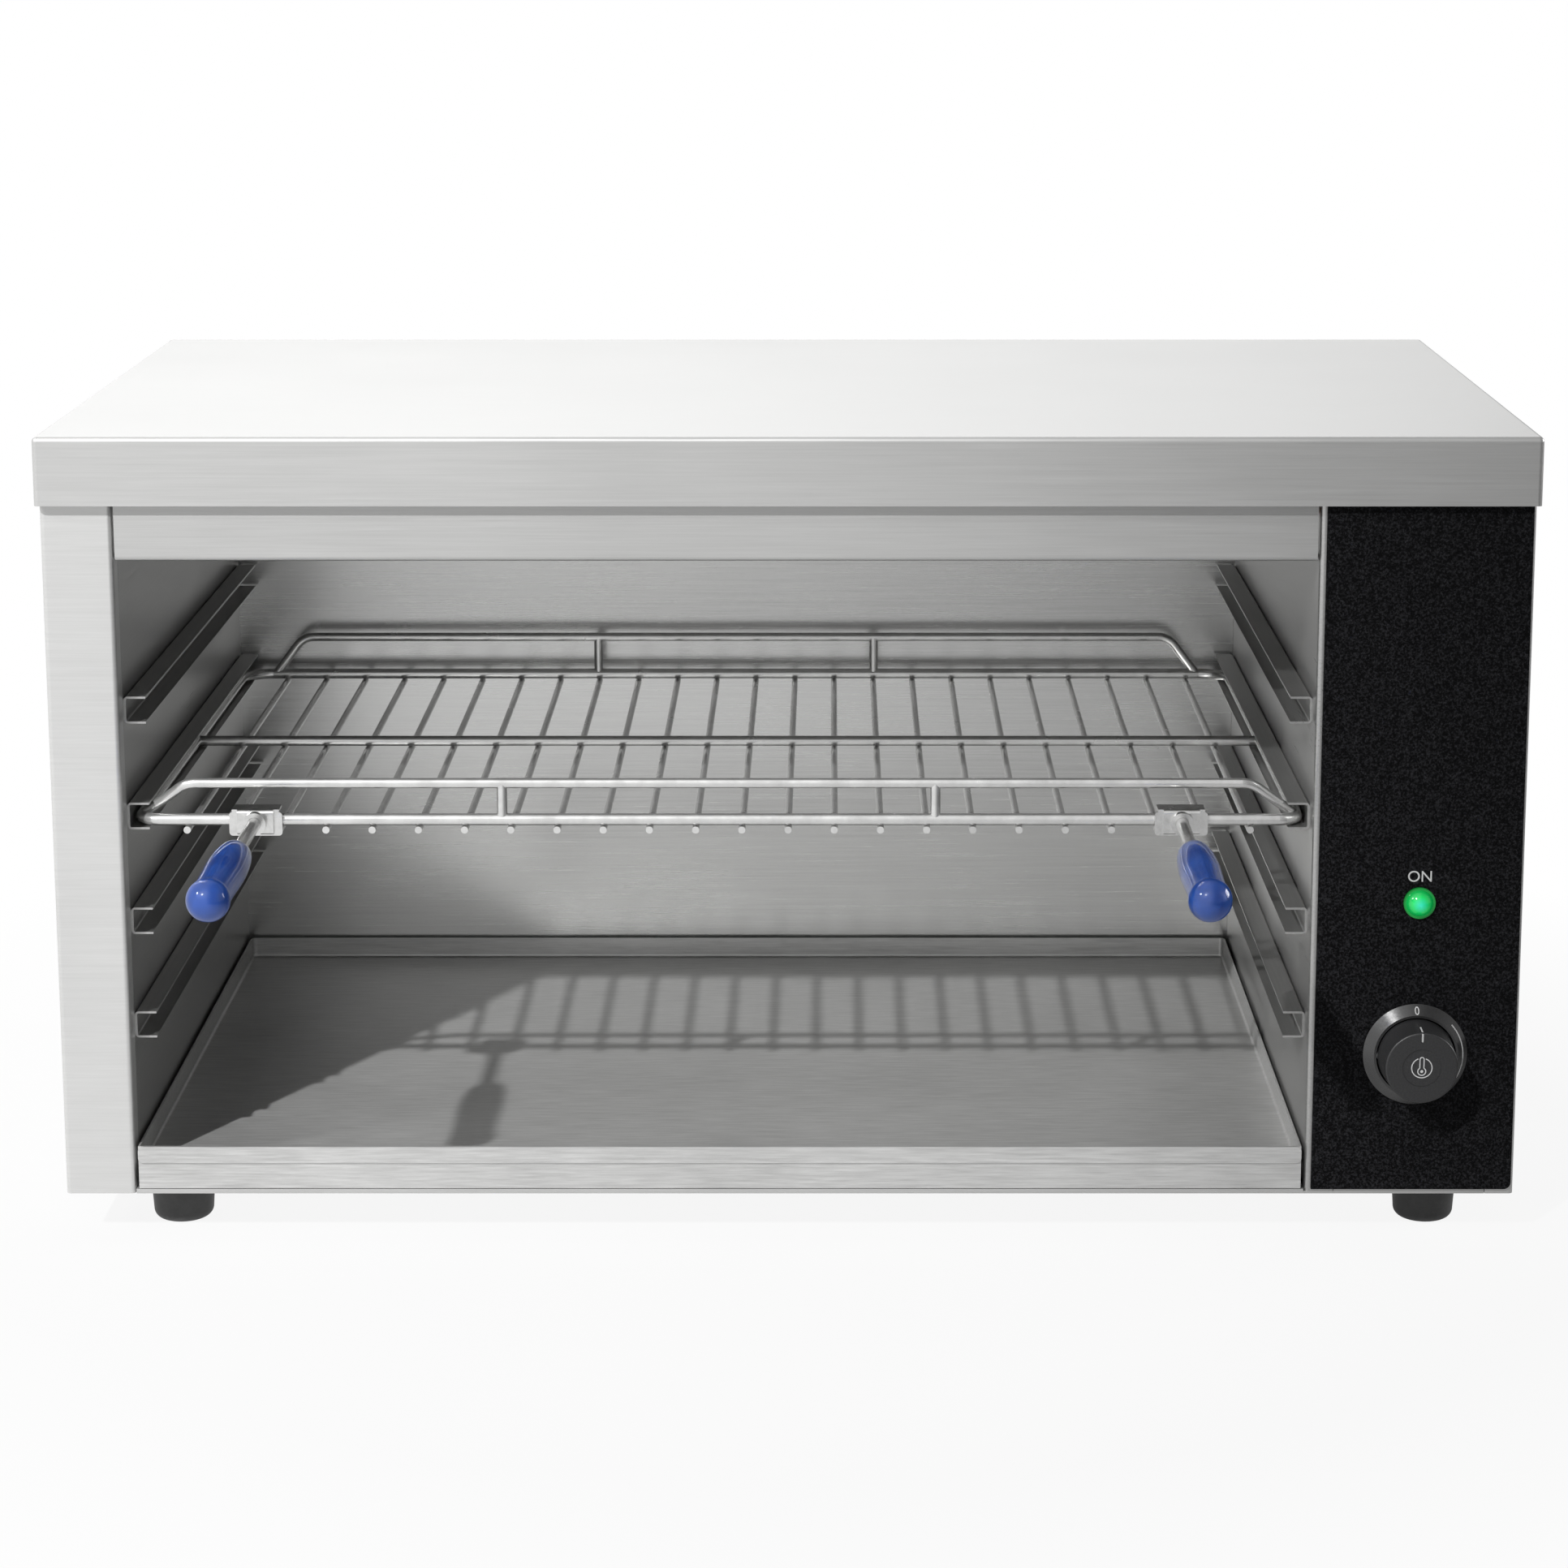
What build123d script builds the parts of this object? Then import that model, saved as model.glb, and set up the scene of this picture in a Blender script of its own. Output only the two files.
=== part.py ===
"""Electric salamander grill: a folded stainless casing, open at the front, with a wire rack on
runners, a drip tray below it, heating elements under the lid and a control bay on the right.

Millimetres. X runs to the right, Y to the back, Z up. The front faces -Y. The origin lies on the
surface that the feet stand on, at the middle of the whole object's box.
"""

import os
from math import asin, cos, floor, sin, sqrt

from build123d import *

# Sheet metal
sheet = 1.0
bend_radius = 2.0
sheet_gap = 0.3
return_flange = 10.0
panel_flange = 12.0
back_flange = 15.0

# Casing
case_width = 607.6
case_depth = 324.0
case_height = 320.4
post_width = 29.2
bay_width = 87.8
valance_height = 50.7
valance_return = 14.0
valance_end_gap = 0.8
base_flange_height = 8.5
base_hem_depth = 8.0

# Lid
lid_skirt = 28.2
lid_overhang = 5.0
lid_gap = 0.2

# Feet
foot_height = 20.0
foot_top_radius = 13.7
foot_bottom_radius = 12.4
foot_edge_radius = 4.0
foot_inset_left = 44.0
foot_inset_right = 33.0
foot_inset_y = 30.0
foot_bore_radius = 2.6
foot_recess_radius = 5.5
foot_recess_depth = 11.0
foot_screw_radius = 2.45
foot_screw_head_radius = 4.5
foot_screw_head_height = 3.5
foot_nut_flats = 8.0
foot_nut_height = 4.0

# Runners
runner_count = 4
runner_bottom_gap = 64.5
runner_top_drop = 109.5
runner_height = 11.4
runner_flange = 9.0
runner_sheet = 0.9
runner_bend = 1.6
runner_setback = 12.0
runner_back_gap = 4.0
rack_level = 1

# Rack
rack_side_gap = 0.8
slide_gap = 0.3
rack_setback = 12.0
rack_depth = 300.0
rack_front_corner = 8.0
rack_back_corner = 14.0
frame_wire_radius = 2.5
centre_bar_radius = 2.3
cross_wire_radius = 1.5
cross_wire_pitch = 19.2
cross_wire_side_gap = 15.0
guard_wire_radius = 2.1
guard_bend_radius = 10.0
front_guard_height = 15.5
front_guard_rise = 20.0
front_guard_post_offset = 90.0
rear_guard_height = 18.4
rear_guard_inset = 1.1
rear_guard_rise = 14.0
rear_guard_post_offset = 67.5

# Handles
handle_bay_count = 2
bracket_width = 15.0
bracket_depth = 12.0
bracket_height = 10.5
bracket_corner = 1.5
bracket_sheet = 1.2
bracket_top_width = 19.5
bracket_ear_span = 22.0
bracket_ear_setback = 2.0
bracket_ear_drop = 6.0
boss_radius = 4.8
boss_length = 3.0
wire_clearance = 0.05
rod_radius = 2.8
rod_cover = 0.7
handle_reach = 136.0
grip_length = 80.0
grip_neck_radius = 4.4
grip_shoulder_radius = 7.3
grip_shoulder_length = 9.0
grip_radius = 8.2
grip_waist_radius = 7.7
grip_ball_radius = 8.6
grip_blind_end = 9.0

# Drip tray
tray_sheet = 0.8
tray_side_gap = 1.5
tray_back_gap = 3.0
tray_lip = 10.4
tray_corner = 3.0
tray_bend = 2.0
tray_hem_height = 7.0
tray_hem_thickness = 0.9
tray_hem_corner = 2.0
tray_guide_height = 9.0
tray_guide_width = 14.0
tray_guide_setback = 12.0

# Heating elements
reflector_drop = 22.0
reflector_flange = 10.0
reflector_setback = 16.0
element_radius = 4.25
element_drop = 35.0
element_first_leg = 60.0
element_leg_gap = 60.0
element_pair_pitch = 130.0
element_end_gap = 22.0
element_tail = 14.0
element_pin_radius = 1.25
element_pin_length = 16.0
element_clearance = 0.1
hanger_thickness = 1.2
hanger_margin = 12.0
hanger_below = 8.0
hanger_inset = 70.0
bushing_radius = 6.0
bushing_flange_radius = 8.5
bushing_flange = 2.0
bushing_length = 10.0
bushing_nut_flats = 16.0
bushing_nut_height = 4.0
insulator_radius = 4.2
insulator_length = 8.0

# Control panel
panel_thickness = 1.2
panel_left_rim = 2.7
panel_right_rim = 1.3
panel_bottom_rim = 2.3
panel_top_gap = 0.3
panel_corner = 3.0

# Indicator lamp
lamp_z = 146.6
lamp_hole_radius = 4.7
lamp_stem_radius = 4.6
lamp_flange_radius = 6.6
lamp_flange = 1.2
lamp_dome_radius = 5.7
lamp_dome_height = 5.0
lamp_body_length = 26.0
lamp_nut_flats = 13.0
lamp_nut_height = 4.0

# Thermostat, its ring and its knob
knob_z = 81.6
bezel_outer_radius = 21.7
bezel_inner_radius = 16.6
bezel_rim = 0.8
bezel_land = 1.0
bezel_height = 4.0
knob_base_radius = 15.9
knob_face_radius = 15.0
knob_edge_radius = 0.8
knob_stand_off = 3.2
knob_reach = 20.0
knob_recess_radius = 8.0
knob_recess_depth = 0.4
pointer_width = 1.2
pointer_length = 5.0
pointer_depth = 0.5
shaft_radius = 3.0
shaft_flat = 1.5
shaft_clearance = 0.05
shaft_in_knob = 10.8
shaft_in_body = 12.0
shaft_hole_radius = 5.0
thermostat_width = 44.0
thermostat_depth = 40.0
thermostat_tall = 36.0
thermostat_screw_offset = 13.0
thermostat_screw_radius = 1.95
thermostat_screw_head = 3.2
thermostat_screw_head_height = 2.4
thermostat_screw_grip = 6.0
screw_clearance = 0.1
blade_width = 6.3
blade_thickness = 0.8
blade_length = 9.0

# Temperature sensor
capillary_radius = 1.0
capillary_bend = 16.0
capillary_offset = 12.0
capillary_setback = 30.0
bulb_radius = 3.0
bulb_length = 70.0
bulb_wall_gap = 14.0
clip_thickness = 1.0
clip_width = 12.0

# Inner wiring
lead_radius = 1.2
lead_bend = 8.0
lead_run = 24.0
lead_spacing = 2.5

# Mains connection
block_width = 40.0
block_depth = 22.0
block_tall = 20.0
block_poles = 3
block_pole_pitch = 12.0
block_hole_radius = 2.5
block_back_gap = 60.0
gland_height = 60.0
gland_thread_radius = 7.9
gland_bore_radius = 4.0
gland_flats = 22.0
gland_flange = 6.0
gland_cap_radius = 9.5
gland_cap_length = 8.0
gland_cap_edge = 2.0
gland_thread_inside = 8.0
gland_nut_height = 4.5

# Case screws and vents
case_screw_radius = 1.9
case_screw_head_radius = 3.4
case_screw_head_height = 1.4
case_screw_length = 8.0
back_screw_bottom_gap = 40.0
back_screw_top_gap = 50.0
back_screw_inset = 8.0
lid_screw_inset = 95.0
vent_width = 30.0
vent_height = 4.0
vent_pitch = 10.0
vent_rows = 8
vent_first_height = 140.0

# Places worked out from the sizes above
left = -case_width / 2
right = case_width / 2
cavity_left = left + post_width
cavity_right = right - bay_width
cavity_width = cavity_right - cavity_left
cavity_mid = (cavity_left + cavity_right) / 2
base_z = foot_height
floor_z = base_z + sheet
roof_z = base_z + case_height
lid_top_z = roof_z + sheet
lid_bottom_z = lid_top_z - lid_skirt
valance_z = roof_z - valance_height
reflector_z = roof_z - reflector_drop
element_z = roof_z - element_drop
gland_reach = gland_flange + gland_cap_length
front_wire_setback = rack_setback + frame_wire_radius
handle_overhang = handle_reach - front_wire_setback
front = handle_overhang - (handle_overhang + case_depth + gland_reach) / 2
back = front + case_depth
back_inner = back - sheet
panel_left = cavity_right + panel_left_rim
panel_right = right - panel_right_rim
panel_mid = (panel_left + panel_right) / 2
panel_bottom_z = base_z + panel_bottom_rim
panel_top_z = lid_bottom_z - panel_top_gap
panel_face = front - panel_thickness
thermostat_screw_places = (panel_mid - thermostat_screw_offset, panel_mid + thermostat_screw_offset)
top_level_z = roof_z - runner_top_drop - runner_height
runner_pitch = (top_level_z - base_z - runner_bottom_gap) / (runner_count - 1)
runner_levels = [top_level_z - i * runner_pitch for i in range(runner_count)]
rack_z = runner_levels[rack_level] + runner_sheet + slide_gap + frame_wire_radius
rack_half = cavity_width / 2 - runner_sheet - rack_side_gap - frame_wire_radius
rack_front = front + front_wire_setback
rack_back = front + rack_setback + rack_depth - frame_wire_radius
cross_wire_z = rack_z - frame_wire_radius - cross_wire_radius
half_wire_count = floor((rack_half - cross_wire_side_gap) / cross_wire_pitch + 0.5)
handle_offset = (half_wire_count - handle_bay_count) * cross_wire_pitch
rod_start_y = rack_front - frame_wire_radius - rod_cover
grip_tip_y = rack_front - handle_reach
grip_start_y = grip_tip_y + grip_length
rod_end_y = grip_tip_y + grip_blind_end
guide_z = floor_z + tray_guide_height
tray_z = guide_z + slide_gap
tray_top_z = tray_z + tray_lip
tray_half = cavity_width / 2 - tray_side_gap
tray_back = back_inner - tray_back_gap
apron_bottom_z = floor_z + sheet + sheet_gap
element_legs = [
    [front + element_first_leg + pair * element_pair_pitch + leg * element_leg_gap for leg in range(2)]
    for pair in range(2)
]
element_end_x = cavity_right + element_tail
capillary_x = panel_mid + capillary_offset
capillary_y = front + capillary_setback
bulb_end_x = cavity_right - bulb_wall_gap
block_y = back_inner - block_back_gap
foot_places = {
    f"foot_{row}_{side}": (x, y)
    for row, y in (("front", front + foot_inset_y), ("rear", back - foot_inset_y))
    for side, x in (("left", left + foot_inset_left), ("right", right - foot_inset_right))
}
low_screw_z = base_z + back_screw_bottom_gap
high_screw_z = roof_z - back_screw_top_gap
back_screw_heights = (low_screw_z, (low_screw_z + high_screw_z) / 2, high_screw_z)
side_screw_x = (left + back_screw_inset, right - back_screw_inset)
partition_screw_x = cavity_right + panel_flange - back_screw_inset / 2
lid_screw_z = roof_z - lid_skirt / 2
lid_screw_places = [
    (cavity_left + lid_screw_inset, lid_screw_z),
    (cavity_mid, lid_screw_z),
    (cavity_right - lid_screw_inset, lid_screw_z),
]


def along_x(section, start, end):
    """A (Y, Z) section run from one X to another."""
    return extrude(Plane.YZ.offset(start) * section, end - start)


def along_y(section, start, end):
    """An (X, Z) section run from one Y to another."""
    return extrude(Plane.XZ.offset(-end) * section, end - start)


def along_z(section, start, end):
    """An (X, Y) section run from one Z to another."""
    return extrude(Plane.XY.offset(start) * section, end - start)


def folded(points, thickness, radius, side):
    """Section of one sheet folded along its outer line and thickened to the given side."""
    return make_face(offset(FilletPolyline(*points, radius=radius), thickness, side=side))


def block(low, high):
    """A rectangular block between two corners."""
    size = [b - a for a, b in zip(low, high)]
    return Pos(*low) * Box(*size, align=(Align.MIN, Align.MIN, Align.MIN))


def rod(radius, start, end):
    """A round bar between two points."""
    axis = Vector(*end) - Vector(*start)
    bar = Cylinder(radius, axis.length, align=(Align.CENTER, Align.CENTER, Align.MIN))
    return Plane(start, z_dir=axis) * bar


def hexagon(flats, bore, start, end):
    """A hexagonal nut of a given width across flats between two points."""
    axis = Vector(*end) - Vector(*start)
    section = RegularPolygon(flats / 2, 6, major_radius=False) - Circle(bore)
    return extrude(Plane(start, z_dir=axis) * section, axis.length)


def wire_along(path, radius):
    """Round wire swept along a path."""
    return sweep(Plane(path @ 0, z_dir=path % 0) * Circle(radius), path)


def turned_forward(profile, x, z, y):
    """An outline of (radius, height) points turned about the line along Y, rising towards the front."""
    half = mirror(make_face(profile), Plane.XZ)
    return revolve(Plane((x, y, z)) * half, Axis((x, y, z), (0, -1, 0)))


def top_lid():
    """Cap folded from one sheet, with skirts all round and a narrow return under the front skirt."""
    outer_left = left - lid_gap - sheet
    outer_back = back + lid_gap + sheet
    cap = block((outer_left, front - lid_overhang, lid_bottom_z), (-outer_left, outer_back, lid_top_z))
    cap = fillet(cap.edges().filter_by(Axis.Z) + cap.faces().sort_by(Axis.Z)[-1].edges(), bend_radius)
    hollow = block(
        (outer_left + sheet, front - lid_overhang + sheet, lid_bottom_z + sheet),
        (-outer_left - sheet, outer_back - sheet, roof_z),
    )
    mouth = block(
        (outer_left + sheet, front - panel_thickness - lid_gap, lid_bottom_z - sheet),
        (-outer_left - sheet, outer_back - sheet, roof_z),
    )
    cap = cap - hollow - mouth
    for x, z in lid_screw_places:
        cap -= rod(case_screw_radius + screw_clearance, (x, back, z), (x, outer_back + sheet, z))
    return cap


def left_side_panel():
    """Outer side, front post and the post's return, folded from one sheet, with a flange at the back."""
    section = folded(
        [
            (cavity_left, front + return_flange),
            (cavity_left, front),
            (left, front),
            (left, back_inner),
            (left + back_flange, back_inner),
        ],
        sheet,
        bend_radius,
        Side.RIGHT,
    )
    return along_z(section, base_z, roof_z) - back_screw_holes(side_screw_x[0], case_screw_radius)


def right_side_panel():
    """Outer side of the control bay, with a front flange behind the control panel."""
    section = folded(
        [
            (right - panel_flange, front),
            (right, front),
            (right, back_inner),
            (right - back_flange, back_inner),
        ],
        sheet,
        bend_radius,
        Side.LEFT,
    )
    return along_z(section, base_z, roof_z) - back_screw_holes(side_screw_x[1], case_screw_radius)


def back_screw_holes(x, radius):
    """Holes for one column of screws through the back of the casing."""
    holes = [rod(radius, (x, back - 4 * sheet, z), (x, back + sheet, z)) for z in back_screw_heights]
    return Part() + holes


def cavity_left_wall():
    """Inner wall on the left, with flanges into the hollow side."""
    section = folded(
        [
            (cavity_left - return_flange, floor_z),
            (cavity_left, floor_z),
            (cavity_left, roof_z),
            (cavity_left - return_flange, roof_z),
        ],
        sheet,
        bend_radius,
        Side.LEFT,
    )
    return along_y(section, front + return_flange + sheet_gap, back_inner)


def partition_wall():
    """Wall between the cavity and the control bay, with holes for the elements and the sensor."""
    section = folded(
        [
            (cavity_right + panel_flange, front),
            (cavity_right, front),
            (cavity_right, back_inner),
            (cavity_right + panel_flange, back_inner),
        ],
        sheet,
        bend_radius,
        Side.RIGHT,
    )
    wall = along_z(section, floor_z, roof_z) - back_screw_holes(partition_screw_x, case_screw_radius)
    for y in sum(element_legs, []):
        wall -= across_partition(bushing_radius + element_clearance, y)
    return wall - across_partition(capillary_radius + element_clearance, capillary_y)


def across_partition(radius, y):
    """A round hole through the partition at element height."""
    return rod(radius, (cavity_right - sheet, y, element_z), (cavity_right + 2 * sheet, y, element_z))


def base_plate():
    """Bottom pan between the side panels, hemmed at the cavity's mouth, notched at the front corners."""
    pan_left = left + sheet + sheet_gap
    pan_right = right - sheet - sheet_gap
    flange_top = floor_z + base_flange_height
    section = folded(
        [(pan_left, flange_top), (pan_left, base_z), (pan_right, base_z), (pan_right, flange_top)],
        sheet,
        bend_radius,
        Side.LEFT,
    )
    pan = along_y(section, front, back - 2 * sheet - sheet_gap)
    post_notch = block(
        (left, front - sheet, base_z - sheet),
        (cavity_left + sheet_gap, front + return_flange + sheet_gap, flange_top + sheet),
    )
    bay_notch = block(
        (right - panel_flange - sheet_gap, front - sheet, base_z - sheet),
        (right, front + sheet + sheet_gap, flange_top + sheet),
    )
    hem = block(
        (cavity_left + sheet_gap, front, floor_z),
        (cavity_right - sheet_gap, front + base_hem_depth, floor_z + sheet),
    )
    bay_flange = block(
        (cavity_right + panel_flange + sheet_gap, front, floor_z),
        (right - panel_flange - sheet_gap, front + sheet, flange_top),
    )
    pan = pan - post_notch - bay_notch + hem + bay_flange
    for x, y in foot_places.values():
        pan -= rod(foot_bore_radius, (x, y, base_z - sheet), (x, y, floor_z + sheet))
    return pan


def back_panel():
    """Flat back of the cavity and the control bay, with vents and the cable hole in the bay."""
    panel = block((left, back_inner, base_z), (right, back, roof_z))
    for x in (*side_screw_x, partition_screw_x):
        panel -= back_screw_holes(x, case_screw_radius + screw_clearance)
    for x, z in lid_screw_places:
        panel -= rod(case_screw_radius, (x, back_inner - sheet, z), (x, back + sheet, z))
    for row in range(vent_rows):
        vent = Pos(panel_mid, vent_first_height + row * vent_pitch) * SlotOverall(vent_width, vent_height)
        panel -= along_y(vent, back_inner - sheet, back + sheet)
    gland_hole = rod(
        gland_thread_radius + screw_clearance,
        (panel_mid, back_inner - sheet, gland_height),
        (panel_mid, back + sheet, gland_height),
    )
    return panel - gland_hole


def front_valance():
    """Folded crosspiece over the cavity's mouth, which hides the heating elements."""
    section = folded(
        [
            (front + valance_return, roof_z),
            (front, roof_z),
            (front, valance_z),
            (front + valance_return, valance_z),
        ],
        sheet,
        bend_radius,
        Side.LEFT,
    )
    return along_x(section, cavity_left + valance_end_gap, cavity_right - valance_end_gap)


def heat_reflector():
    """Bright sheet above the elements, with flanges turned up against the cavity's walls."""
    section = folded(
        [
            (cavity_left, reflector_z + reflector_flange),
            (cavity_left, reflector_z),
            (cavity_right, reflector_z),
            (cavity_right, reflector_z + reflector_flange),
        ],
        sheet,
        bend_radius,
        Side.LEFT,
    )
    return along_y(section, front + reflector_setback, back_inner - sheet_gap)


def heating_element(legs):
    """Sheathed element bent to a hairpin, with a cold pin at each end in the control bay."""
    near, far = legs
    bend_x = cavity_left + element_end_gap + element_leg_gap / 2
    path = Wire(
        [
            Edge.make_line((element_end_x, near, element_z), (bend_x, near, element_z)),
            Edge.make_three_point_arc(
                (bend_x, near, element_z),
                (bend_x - element_leg_gap / 2, (near + far) / 2, element_z),
                (bend_x, far, element_z),
            ),
            Edge.make_line((bend_x, far, element_z), (element_end_x, far, element_z)),
        ]
    )
    element = wire_along(path, element_radius)
    for y in legs:
        pin_end = element_end_x + element_pin_length
        element += rod(element_pin_radius, (element_end_x, y, element_z), (pin_end, y, element_z))
    return element


def element_hangers():
    """Two strips below the reflector, with holes that carry the elements' legs."""
    legs = sum(element_legs, [])
    low_y = legs[0] - hanger_margin
    high_y = legs[-1] + hanger_margin
    low_z = element_z - hanger_below
    strip = Pos((low_y + high_y) / 2, (low_z + reflector_z) / 2) * Rectangle(
        high_y - low_y, reflector_z - low_z
    )
    for y in legs:
        strip -= Pos(y, element_z) * Circle(element_radius + element_clearance)
    places = (cavity_left + hanger_inset, cavity_right - hanger_inset)
    return [along_x(strip, x, x + hanger_thickness) for x in places]


def element_bushings():
    """Flanged bushings that hold the elements' ends in the partition."""
    bore = element_radius + element_clearance
    bushings = []
    for y in sum(element_legs, []):
        flange_start = (cavity_right - bushing_flange, y, element_z)
        wall_face = (cavity_right, y, element_z)
        body_end = (cavity_right + bushing_length, y, element_z)
        bushing = rod(bushing_flange_radius, flange_start, wall_face)
        bushing += rod(bushing_radius, wall_face, body_end)
        bushings.append(bushing - rod(bore, flange_start, body_end))
    return bushings


def element_nuts():
    """Nuts that clamp the bushings from the control bay."""
    bore = bushing_radius + element_clearance
    start = cavity_right + sheet
    return [
        hexagon(bushing_nut_flats, bore, (start, y, element_z), (start + bushing_nut_height, y, element_z))
        for y in sum(element_legs, [])
    ]


def element_insulators():
    """Ceramic collars round the elements' cold pins."""
    bore = element_pin_radius + element_clearance
    collars = []
    for y in sum(element_legs, []):
        start = (element_end_x, y, element_z)
        end = (element_end_x + insulator_length, y, element_z)
        collars.append(rod(insulator_radius, start, end) - rod(bore, start, end))
    return collars


def runner(level_z):
    """Channel on the left wall that carries one side of the rack."""
    top = level_z + runner_height
    section = folded(
        [
            (cavity_left + runner_flange, top),
            (cavity_left, top),
            (cavity_left, level_z),
            (cavity_left + runner_flange, level_z),
        ],
        runner_sheet,
        runner_bend,
        Side.LEFT,
    )
    return along_y(section, front + runner_setback, back_inner - runner_back_gap)


def tray_guide():
    """Angle on the base's left side that the drip tray slides on."""
    section = folded(
        [(cavity_left, floor_z), (cavity_left, guide_z), (cavity_left + tray_guide_width, guide_z)],
        sheet,
        bend_radius,
        Side.RIGHT,
    )
    return along_y(section, front + tray_guide_setback, back_inner - tray_back_gap)


def on_right(shape):
    """The mirror image of a piece on the cavity's left, for its right."""
    return mirror(shape, Plane.YZ.offset(cavity_mid))


def drip_tray():
    """Shallow pan with a deep front apron and a hem folded out along the apron's top."""
    pan = block(
        (cavity_mid - tray_half, front, tray_z),
        (cavity_mid + tray_half, tray_back, tray_top_z),
    )
    back_corners = pan.edges().filter_by(Axis.Z).group_by(Axis.Y)[-1]
    pan = fillet(back_corners, tray_corner)
    pan = fillet(pan.faces().sort_by(Axis.Z)[0].edges().sort_by(Axis.Y)[1:], tray_bend)
    pan = offset(pan, -tray_sheet, openings=pan.faces().sort_by(Axis.Z)[-1])
    apron = block(
        (cavity_mid - tray_half, front, apron_bottom_z),
        (cavity_mid + tray_half, front + tray_sheet, tray_top_z),
    )
    hem = Pos(cavity_mid, tray_top_z - tray_hem_height / 2) * RectangleRounded(
        2 * tray_half, tray_hem_height, tray_hem_corner
    )
    return pan + apron + along_y(hem, front - tray_hem_thickness, front)


def rack_frame():
    """Outer wire of the rack, bent to a loop with rounded corners."""
    corners = [
        (cavity_mid - rack_half, rack_front, rack_z),
        (cavity_mid + rack_half, rack_front, rack_z),
        (cavity_mid + rack_half, rack_back, rack_z),
        (cavity_mid - rack_half, rack_back, rack_z),
    ]
    radii = [rack_front_corner, rack_front_corner, rack_back_corner, rack_back_corner]
    return wire_along(FilletPolyline(*corners, radius=radii, close=True), frame_wire_radius)


def rack_centre_bar(frame):
    """Wire across the middle of the rack, welded between the frame's sides."""
    y = (rack_front + rack_back) / 2
    z = cross_wire_z + cross_wire_radius + centre_bar_radius
    bar = rod(centre_bar_radius, (cavity_mid - rack_half, y, z), (cavity_mid + rack_half, y, z))
    return bar - frame


def rack_cross_wires():
    """Thin wires from front to back, welded under the frame and the centre bar."""
    wires = []
    for i in range(-half_wire_count, half_wire_count):
        x = cavity_mid + (i + 0.5) * cross_wire_pitch
        start = (x, rack_front - frame_wire_radius, cross_wire_z)
        wires.append(rod(cross_wire_radius, start, (x, rack_back + frame_wire_radius, cross_wire_z)))
    return wires


def rack_guard(frame, points, post_offset, post_y, top_z):
    """Raised wire along one edge of the rack, with two posts, trimmed where it meets the frame."""
    guard = wire_along(FilletPolyline(*points, radius=guard_bend_radius), guard_wire_radius)
    for x in (cavity_mid - post_offset, cavity_mid + post_offset):
        guard += rod(guard_wire_radius, (x, post_y, rack_z), (x, post_y, top_z))
    return guard - frame


def rack_front_guard(frame):
    """Guard over the rack's front wire, whose ends come down on the frame's sides."""
    top_z = rack_z + front_guard_height
    foot_y = rack_front + rack_front_corner
    top_half = rack_half - front_guard_rise
    points = [
        (cavity_mid - rack_half, foot_y, rack_z),
        (cavity_mid - top_half, rack_front, top_z),
        (cavity_mid + top_half, rack_front, top_z),
        (cavity_mid + rack_half, foot_y, rack_z),
    ]
    return rack_guard(frame, points, front_guard_post_offset, rack_front, top_z)


def rack_rear_guard(frame):
    """Taller guard over the rack's back wire, which stops food from sliding off."""
    top_z = rack_z + rear_guard_height
    foot_half = rack_half - rack_back_corner - rear_guard_inset
    top_half = foot_half - rear_guard_rise
    points = [
        (cavity_mid - foot_half, rack_back, rack_z),
        (cavity_mid - top_half, rack_back, top_z),
        (cavity_mid + top_half, rack_back, top_z),
        (cavity_mid + foot_half, rack_back, rack_z),
    ]
    return rack_guard(frame, points, rear_guard_post_offset, rack_back, top_z)


def handle_bracket(x):
    """Pressed clip round the rack's front wire, with a top plate, side ears and a boss for the rod."""
    section = RectangleRounded(bracket_depth, bracket_height, bracket_corner)
    section -= Circle(frame_wire_radius + wire_clearance)
    bracket = along_x(Pos(rack_front, rack_z) * section, x - bracket_width / 2, x + bracket_width / 2)
    clip_front = rack_front - bracket_depth / 2
    clip_top = rack_z + bracket_height / 2
    bracket += block(
        (x - bracket_top_width / 2, clip_front + bracket_corner, clip_top - bracket_sheet),
        (x + bracket_top_width / 2, rack_front + bracket_depth / 2 - bracket_corner, clip_top),
    )
    ear_top = clip_top - bracket_sheet
    ear_bottom = rack_z - bracket_ear_drop
    ears = Pos(x, (ear_top + ear_bottom) / 2) * RectangleRounded(
        bracket_ear_span, ear_top - ear_bottom, bracket_corner
    )
    ear_y = clip_front + bracket_ear_setback
    bracket += along_y(ears, ear_y, ear_y + bracket_sheet)
    bracket += rod(boss_radius, (x, clip_front, rack_z), (x, clip_front - boss_length, rack_z))
    return bracket - rod(
        rod_radius + wire_clearance,
        (x, rod_start_y, rack_z),
        (x, clip_front - 2 * boss_length, rack_z),
    )


def handle_rod(x):
    """Steel rod from the bracket into the grip."""
    return rod(rod_radius, (x, rod_start_y, rack_z), (x, rod_end_y, rack_z))


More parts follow.
